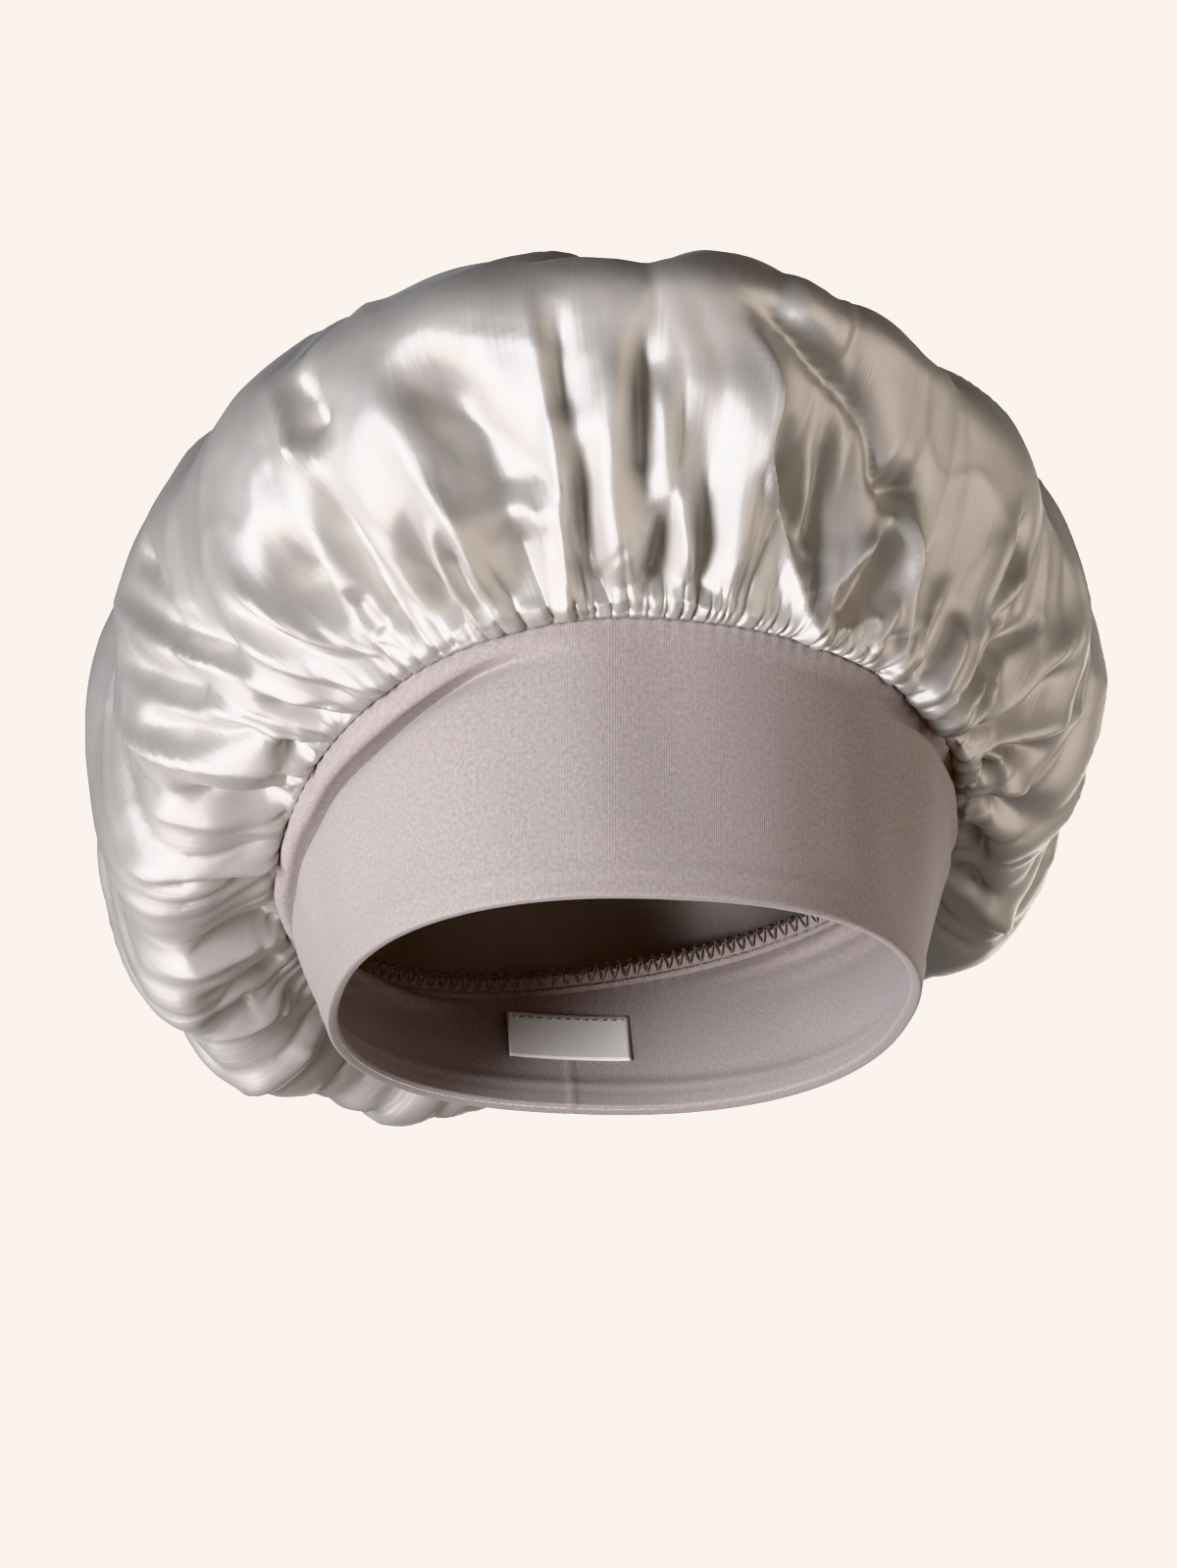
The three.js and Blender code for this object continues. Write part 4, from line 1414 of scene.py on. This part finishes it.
    def build(self) -> Piece:
        """Makes the band, with light waves in the knit and puckers below the seam."""
        even = np.arange(self.columns) * TURN / self.columns
        angle = column_angle(even)
        section = self.sections(angle)
        count = section.shape[1]
        angles = np.broadcast_to(angle[:, None], section.shape[:2])
        points = self.opening.out(angles, section[..., 0], section[..., 1])
        seam = self.opening.seam_height.at(angle)[:, None]
        low = section[..., 1]
        away = np.stack([points[..., 0], points[..., 1], np.zeros_like(low)], axis=-1)
        wave = 0.5 * ripples(points, 75.0, 21) + 0.25 * ripples(points * np.array([1, 1, 0.35]), 26.0, 22)
        behind = (1 - smooth_step(np.abs(points[..., 0]), 22.0, 50.0)) * (points[..., 1] > 0)
        wave = wave * smooth_step(low, 2.0, 20.0) * (1 - smooth_step(low / seam, 0.9, 1.0)) * (1 - behind)
        near_seam = np.exp(-np.abs(seam - low) / self.pucker_reach)
        pucker = self.pucker * np.cos(self.puckers * even)[:, None] * near_seam
        ridge = 0.3 * np.exp(-(((low - 6.8) / 1.1) ** 2)) + 0.16 * smooth_step(-low, -6.8, -3.0)
        join = -0.45 * np.exp(-((points[..., 0] / 0.7) ** 2)) * (points[..., 1] > 0)
        points = points + unit(away) * (wave + pucker + ridge + join)[..., None]
        grid = np.transpose(points, (1, 0, 2))
        corners, places = ring_faces(0, count, self.columns, looped=True)
        girth = self.girth / self.columns
        run = np.linalg.norm(np.diff(section.mean(axis=0), axis=0), axis=-1)
        length = np.concatenate([[0.0], np.cumsum(run), [run.sum() + 2.0]])
        uv = np.stack([places[..., 0] * girth, length[places[..., 1].astype(int)]], axis=-1)
        band = mesh_piece("band_cloth", grid.reshape(-1, 3), [corners[:, ::-1]], [uv[:, ::-1]])
        band.data.materials.append(JERSEY.make())
        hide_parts("band")
        return band


@dataclass
class Stitching:
    """The sewing threads: the gather seam's three, and the zigzag over the band's join."""

    opening: HeadOpening
    radius: float = 0.25
    stitches: int = 180
    # The satin's thickness in the solids, which the threads go round.
    satin: float = 0.6
    needle_from_edge: float = 3.7
    looper_from_edge: float = 2.7
    zigzag_width: float = 3.0
    zigzag_pitch: float = 1.6
    zigzag_start: float = 3.3
    zigzag_end_share: float = 0.8
    zigzag_lift: float = 0.12

    def tube(self, name: str, path: Array, looped: bool, node: str) -> Piece:
        """Makes one thread along a path.

        Args:
            name: Name of the piece.
            path: Points in millimetres.
            looped: Whether the thread closes on itself.
            node: The solid that it stands for.

        Returns:
            The thread, as a mesh.
        """
        curve = bpy.data.curves.new(name, "CURVE")
        curve.dimensions = "3D"
        curve.bevel_depth = self.radius * MM
        curve.bevel_resolution = 1
        curve.use_fill_caps = not looped
        spline = curve.splines.new("POLY")
        spline.points.add(len(path) - 1)
        weighted = np.column_stack([path * MM, np.ones(len(path))])
        spline.points.foreach_set("co", weighted.astype(np.float32).ravel())
        spline.use_cyclic_u = looped
        carrier = bpy.data.objects.new(name + "_path", curve)
        mesh = bpy.data.meshes.new_from_object(carrier)
        mesh.name = name
        bpy.data.objects.remove(carrier)
        bpy.data.curves.remove(curve)
        smoothed(mesh)
        piece = linked(name, mesh)
        mesh.materials.clear()
        mesh.materials.append(bpy.data.materials.get(THREAD.name) or THREAD.make())
        if node:
            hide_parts(node)
        return piece

    def along_seam(self, stations: Array, along: Array, above: Array) -> Array:
        """Carries one stitch's stations round the whole seam.

        Args:
            stations: Places within a stitch, 0 to 1.
            along: The way in from the seam line at those places.
            above: The height over the band's outer face at those places.

        Returns:
            The thread's smooth looped path.
        """
        count = self.stitches
        even = (np.arange(count)[:, None] + stations).ravel() * TURN / count
        points = self.opening.allowance(column_angle(even), np.tile(along, count), np.tile(above, count))
        closed = np.concatenate([points[-1:], points, points[:2]])
        return curve_through(closed, 3)[3:-4]

    def looper(self, name: str, face: float, edge: float, node: str) -> Piece:
        """Makes one looper thread: a zigzag that turns round the raw edge."""
        width = self.opening.allowance_width
        past = width + self.opening.clearance + self.radius
        stations = np.array([0.0, 0.36, 0.5, 0.64])
        along = np.array([width - self.looper_from_edge, past, past, past])
        above = np.array([face, face, edge, face])
        return self.tube(name, self.along_seam(stations, along, above), True, node)

    def build(self) -> list[Piece]:
        """Makes all four threads."""
        opening = self.opening
        top = opening.clearance + self.satin
        stand = opening.clearance + self.radius
        middle = (top + opening.under) / 2
        width = opening.allowance_width
        needle_along = np.full(4, width - self.needle_from_edge)
        needle_above = opening.under - stand + np.array([0.0, 0.25, 0.32, 0.25]) * -1.0
        needle = self.tube(
            "needle_thread",
            self.along_seam(np.array([0.0, 0.25, 0.5, 0.75]), needle_along, needle_above),
            True,
            "gather_seam_needle_thread",
        )
        upper = self.looper(
            "upper_looper_thread", top + stand, middle + stand, "gather_seam_upper_looper_thread"
        )
        lower = self.looper(
            "lower_looper_thread", opening.under - stand, middle - stand, "gather_seam_lower_looper_thread"
        )
        return [needle, upper, lower, self.join()]

    def join(self) -> Piece:
        """Makes the zigzag over the join of the band's ends, on its outer face at the back."""
        opening = self.opening
        height = opening.back_height
        low, high = self.zigzag_start, self.zigzag_end_share * height
        steps = round((high - low) / (self.zigzag_pitch / 2))
        level = np.linspace(low, high, steps + 1)
        across = np.where(np.arange(steps + 1) % 2 == 0, -0.5, 0.5) * self.zigzag_width
        back = np.array(math.pi)
        foot = rounded_oval(opening.half_width, opening.half_depth, opening.squareness, back)[1]
        out = foot + opening.back_flare * level / height + self.radius + self.zigzag_lift
        corners = np.stack([across, out, level], axis=-1)
        middles = (corners[:-1] + corners[1:]) / 2
        path = np.empty((len(corners) + len(middles), 3))
        path[0::2], path[1::2] = corners, middles
        return self.tube("join_zigzag_thread", path, False, "band_join_thread")


@dataclass
class CareLabel:
    """The blank label inside the back of the band, with its row of stitches."""

    opening: HeadOpening
    sewing: Stitching
    width: float = 34.0
    height: float = 15.0
    thickness: float = 0.4
    drop: float = 8.0
    clearance: float = 0.45
    stitches: int = 12
    stitch_inset: float = 1.6

    def build(self) -> list[Piece]:
        """Makes the label, bowed with the band, and the stitches along its upper end."""
        back = self.opening.back_height
        top = back - self.drop
        columns, rows = 36, 12
        across = np.linspace(-0.5, 0.5, columns + 1) * self.width
        level = top - np.linspace(0, 1, rows + 1) * self.height
        grid_x, grid_z = np.meshgrid(across, level)
        lean = math.hypot(back, self.opening.back_flare) / back
        depth = (2 * self.opening.knit + self.opening.ply_gap) * lean + self.clearance
        front = self.sheet_points(grid_x, grid_z, depth + self.thickness)
        rear = self.sheet_points(grid_x, grid_z, depth)
        points = np.concatenate([front.reshape(-1, 3), rear.reshape(-1, 3)])
        number = np.arange((rows + 1) * (columns + 1)).reshape(rows + 1, columns + 1)
        quads = np.stack([number[:-1, :-1], number[:-1, 1:], number[1:, 1:], number[1:, :-1]], axis=-1)
        quads = quads.reshape(-1, 4)
        rim = np.concatenate([number[0, :-1], number[:-1, -1], number[-1, :0:-1], number[:0:-1, 0]])
        after = np.roll(rim, -1)
        shift = number.size
        sides = np.stack([rim, after, after + shift, rim + shift], axis=-1)
        corners = [quads[:, ::-1], quads + shift, sides]
        flat = np.concatenate([np.column_stack([grid_x.ravel(), grid_z.ravel()])] * 2)
        label = mesh_piece("blank_care_label", points, corners, [flat[c] for c in corners])
        label.data.materials.append(LABEL_TAPE.make())
        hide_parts("care_label")
        return [label, self.stitch_row(top, depth)]

    def stitch_row(self, top: float, depth: float) -> Piece:
        """Makes the row of stitches along the label's upper end: one thread in and out of it.

        Args:
            top: Height of the label's upper end.
            depth: Depth of its back below the band's outer face.

        Returns:
            The thread.
        """
        steps = 8 * self.stitches
        share = np.linspace(0, 1, steps + 1)
        across = (share - 0.5) * (self.width - 2 * self.stitch_inset)
        over = np.tanh(2.5 * np.cos(share * self.stitches * TURN))
        lift = (self.thickness + self.sewing.radius) * over
        level = np.full_like(across, top - self.stitch_inset)
        path = self.sheet_points(across, level, depth + self.thickness / 2 + lift)
        return self.sewing.tube("label_stitches", path, False, "")

    def sheet_points(self, across: Array, level: Array, depth: float | Array) -> Array:
        """Returns points at a depth below the band's outer face at the back.

        Args:
            across: Distances from the middle of the back, along X.
            level: Heights.
            depth: The depth below the outer face, level.

        Returns:
            Points with a last axis of length 3.
        """
        opening = self.opening
        reach = opening.back_flare * (level / opening.back_height) - depth
        ratio = np.abs(across) / opening.half_width
        foot = opening.half_depth * (1 - ratio**opening.squareness) ** (1 / opening.squareness)
        curl = 0.25 * (np.abs(across) / (self.width / 2)) ** 4
        return np.stack([across, foot + reach - curl, level], axis=-1)


@dataclass
class Studio:
    """A plain pale floor, a cream surround and soft lamps, with its sizes in metres."""

    floor_radius: float = 6.0
    # The floor lies just under the band, so that no two faces share a place.
    floor_drop: float = 0.0006
    floor_glow: float = 0.45
    # The view softens its highlights, so the backdrop is brighter than it looks.
    backdrop: float = 1.9
    # The light from straight below and from straight above.
    fill: Span = (0.3, 0.07)
    # The height at which the lamps are aimed, near the bonnet's middle.
    aim_height: float = 0.09

    def floor(self) -> None:
        """Makes the floor, which shows only from above, where the bonnet stands on it."""
        radius = self.floor_radius
        corners = [(-radius, -radius, 0), (radius, -radius, 0), (radius, radius, 0), (-radius, radius, 0)]
        mesh = bpy.data.meshes.new("floor")
        mesh.from_pydata(corners, [], [(0, 1, 2, 3)])
        floor = linked("floor", mesh)
        floor.location.z = -self.floor_drop
        floor.visible_diffuse = False
        floor.visible_glossy = False
        floor.visible_shadow = False
        material, tree, shader = PAPER.start()
        grain = noise(tree, object_places(tree), 400.0, Detail=3.0)
        feed(
            tree,
            shader,
            Base_Color=mixed(tree, grain, PAPER.dark, PAPER.light),
            Roughness=0.9,
            Emission_Color=srgb(PAPER.light),
            Emission_Strength=self.floor_glow,
        )
        clear = add_node(tree, "ShaderNodeBsdfTransparent").outputs[0]
        below = add_node(tree, "ShaderNodeNewGeometry").outputs["Backfacing"]
        both = add_node(tree, "ShaderNodeMixShader", in0=below, in1=shader.outputs[0], in2=clear)
        feed(tree, tree.nodes["Material Output"], in0=both.outputs[0])
        mesh.materials.append(material)

    def surround(self) -> None:
        """Makes the surround: bright cream to the eye, and a dimmer fill for the light."""
        world = bpy.data.worlds.new("cream_surround")
        world.use_nodes = True
        tree = world.node_tree
        tree.nodes.clear()
        way = add_node(tree, "ShaderNodeTexCoord").outputs["Generated"]
        across, _, upright = add_node(tree, "ShaderNodeSeparateXYZ", Vector=way).outputs
        whole = (-1.0, 1.0)
        hue = mixed(tree, remap(tree, across, whole), "EBEFF5", "F3E9DF")
        amount = remap(tree, upright, whole, self.fill)
        fill = add_node(tree, "ShaderNodeBackground", Color=hue, Strength=amount).outputs[0]
        cream = srgb("FFF7F0")
        seen = add_node(tree, "ShaderNodeBackground", Color=cream, Strength=self.backdrop).outputs[0]
        looked_at = add_node(tree, "ShaderNodeLightPath").outputs["Is Camera Ray"]
        both = add_node(tree, "ShaderNodeMixShader", in0=looked_at, in1=fill, in2=seen)
        add_node(tree, "ShaderNodeOutputWorld", Surface=both.outputs[0])
        bpy.context.scene.world = world

    def lamp(self, name: str, place: tuple[float, ...], size: float, power: float, colour: str) -> None:
        """Hangs a square soft lamp that faces the bonnet.

        Args:
            name: Name of the lamp.
            place: Its place in metres.
            size: Its width in metres.
            power: Its power in watts.
            colour: Its colour as a hex code.
        """
        data = bpy.data.lights.new(name, "AREA")
        data.shape = "SQUARE"
        data.size = size
        data.energy = power
        data.color = srgb(colour)[:3]
        back = unit(np.array(place) - np.array([0.0, 0.0, self.aim_height]))
        right = unit(np.cross(np.array([0.0, 0.0, 1.0]), back))
        linked(name, data).matrix_world = pose(right, np.cross(back, right), back, np.array(place))

    def build(self) -> None:
        """Sets the floor, the surround and the lamps, the brightest low on the wearer's right."""
        self.floor()
        self.surround()
        self.lamp("key_softbox", (-1.5, -0.95, -0.5), 0.7, 44.0, "F0F5FF")
        self.lamp("low_softbox", (-1.2, -0.6, -0.9), 0.6, 14.0, "FFF2EC")
        self.lamp("rim_softbox", (1.3, -0.6, 0.1), 1.2, 8.5, "FFF2E8")
        self.lamp("front_softbox", (0.4, -1.5, -0.1), 1.0, 2.0, "FFF6F0")
        self.lamp("back_softbox", (0.9, 1.7, 0.35), 1.3, 22.0, "FFF8F2")
        bpy.context.scene.view_settings.view_transform = "Khronos PBR Neutral"


def main() -> None:
    """Builds the bonnet in the frame, and reports each piece."""
    logging.basicConfig(level=logging.INFO, format="%(message)s")
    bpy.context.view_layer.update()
    camera = PhotoCamera()
    camera.place()
    Studio().build()
    opening = HeadOpening()
    sewing = Stitching(opening)
    pieces = [
        Band(opening).build(),
        Crown(opening, camera).build(),
        *sewing.build(),
        *CareLabel(opening, sewing).build(),
    ]
    for piece in pieces:
        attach(piece, "root")
        log.info("%s: %d faces", piece.name, len(piece.data.polygons))
    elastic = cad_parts["hem_elastic"]
    elastic.data.materials.clear()
    elastic.data.materials.append(ELASTIC.make())
    bpy.context.view_layer.update()


if __name__ == "__main__":
    main()
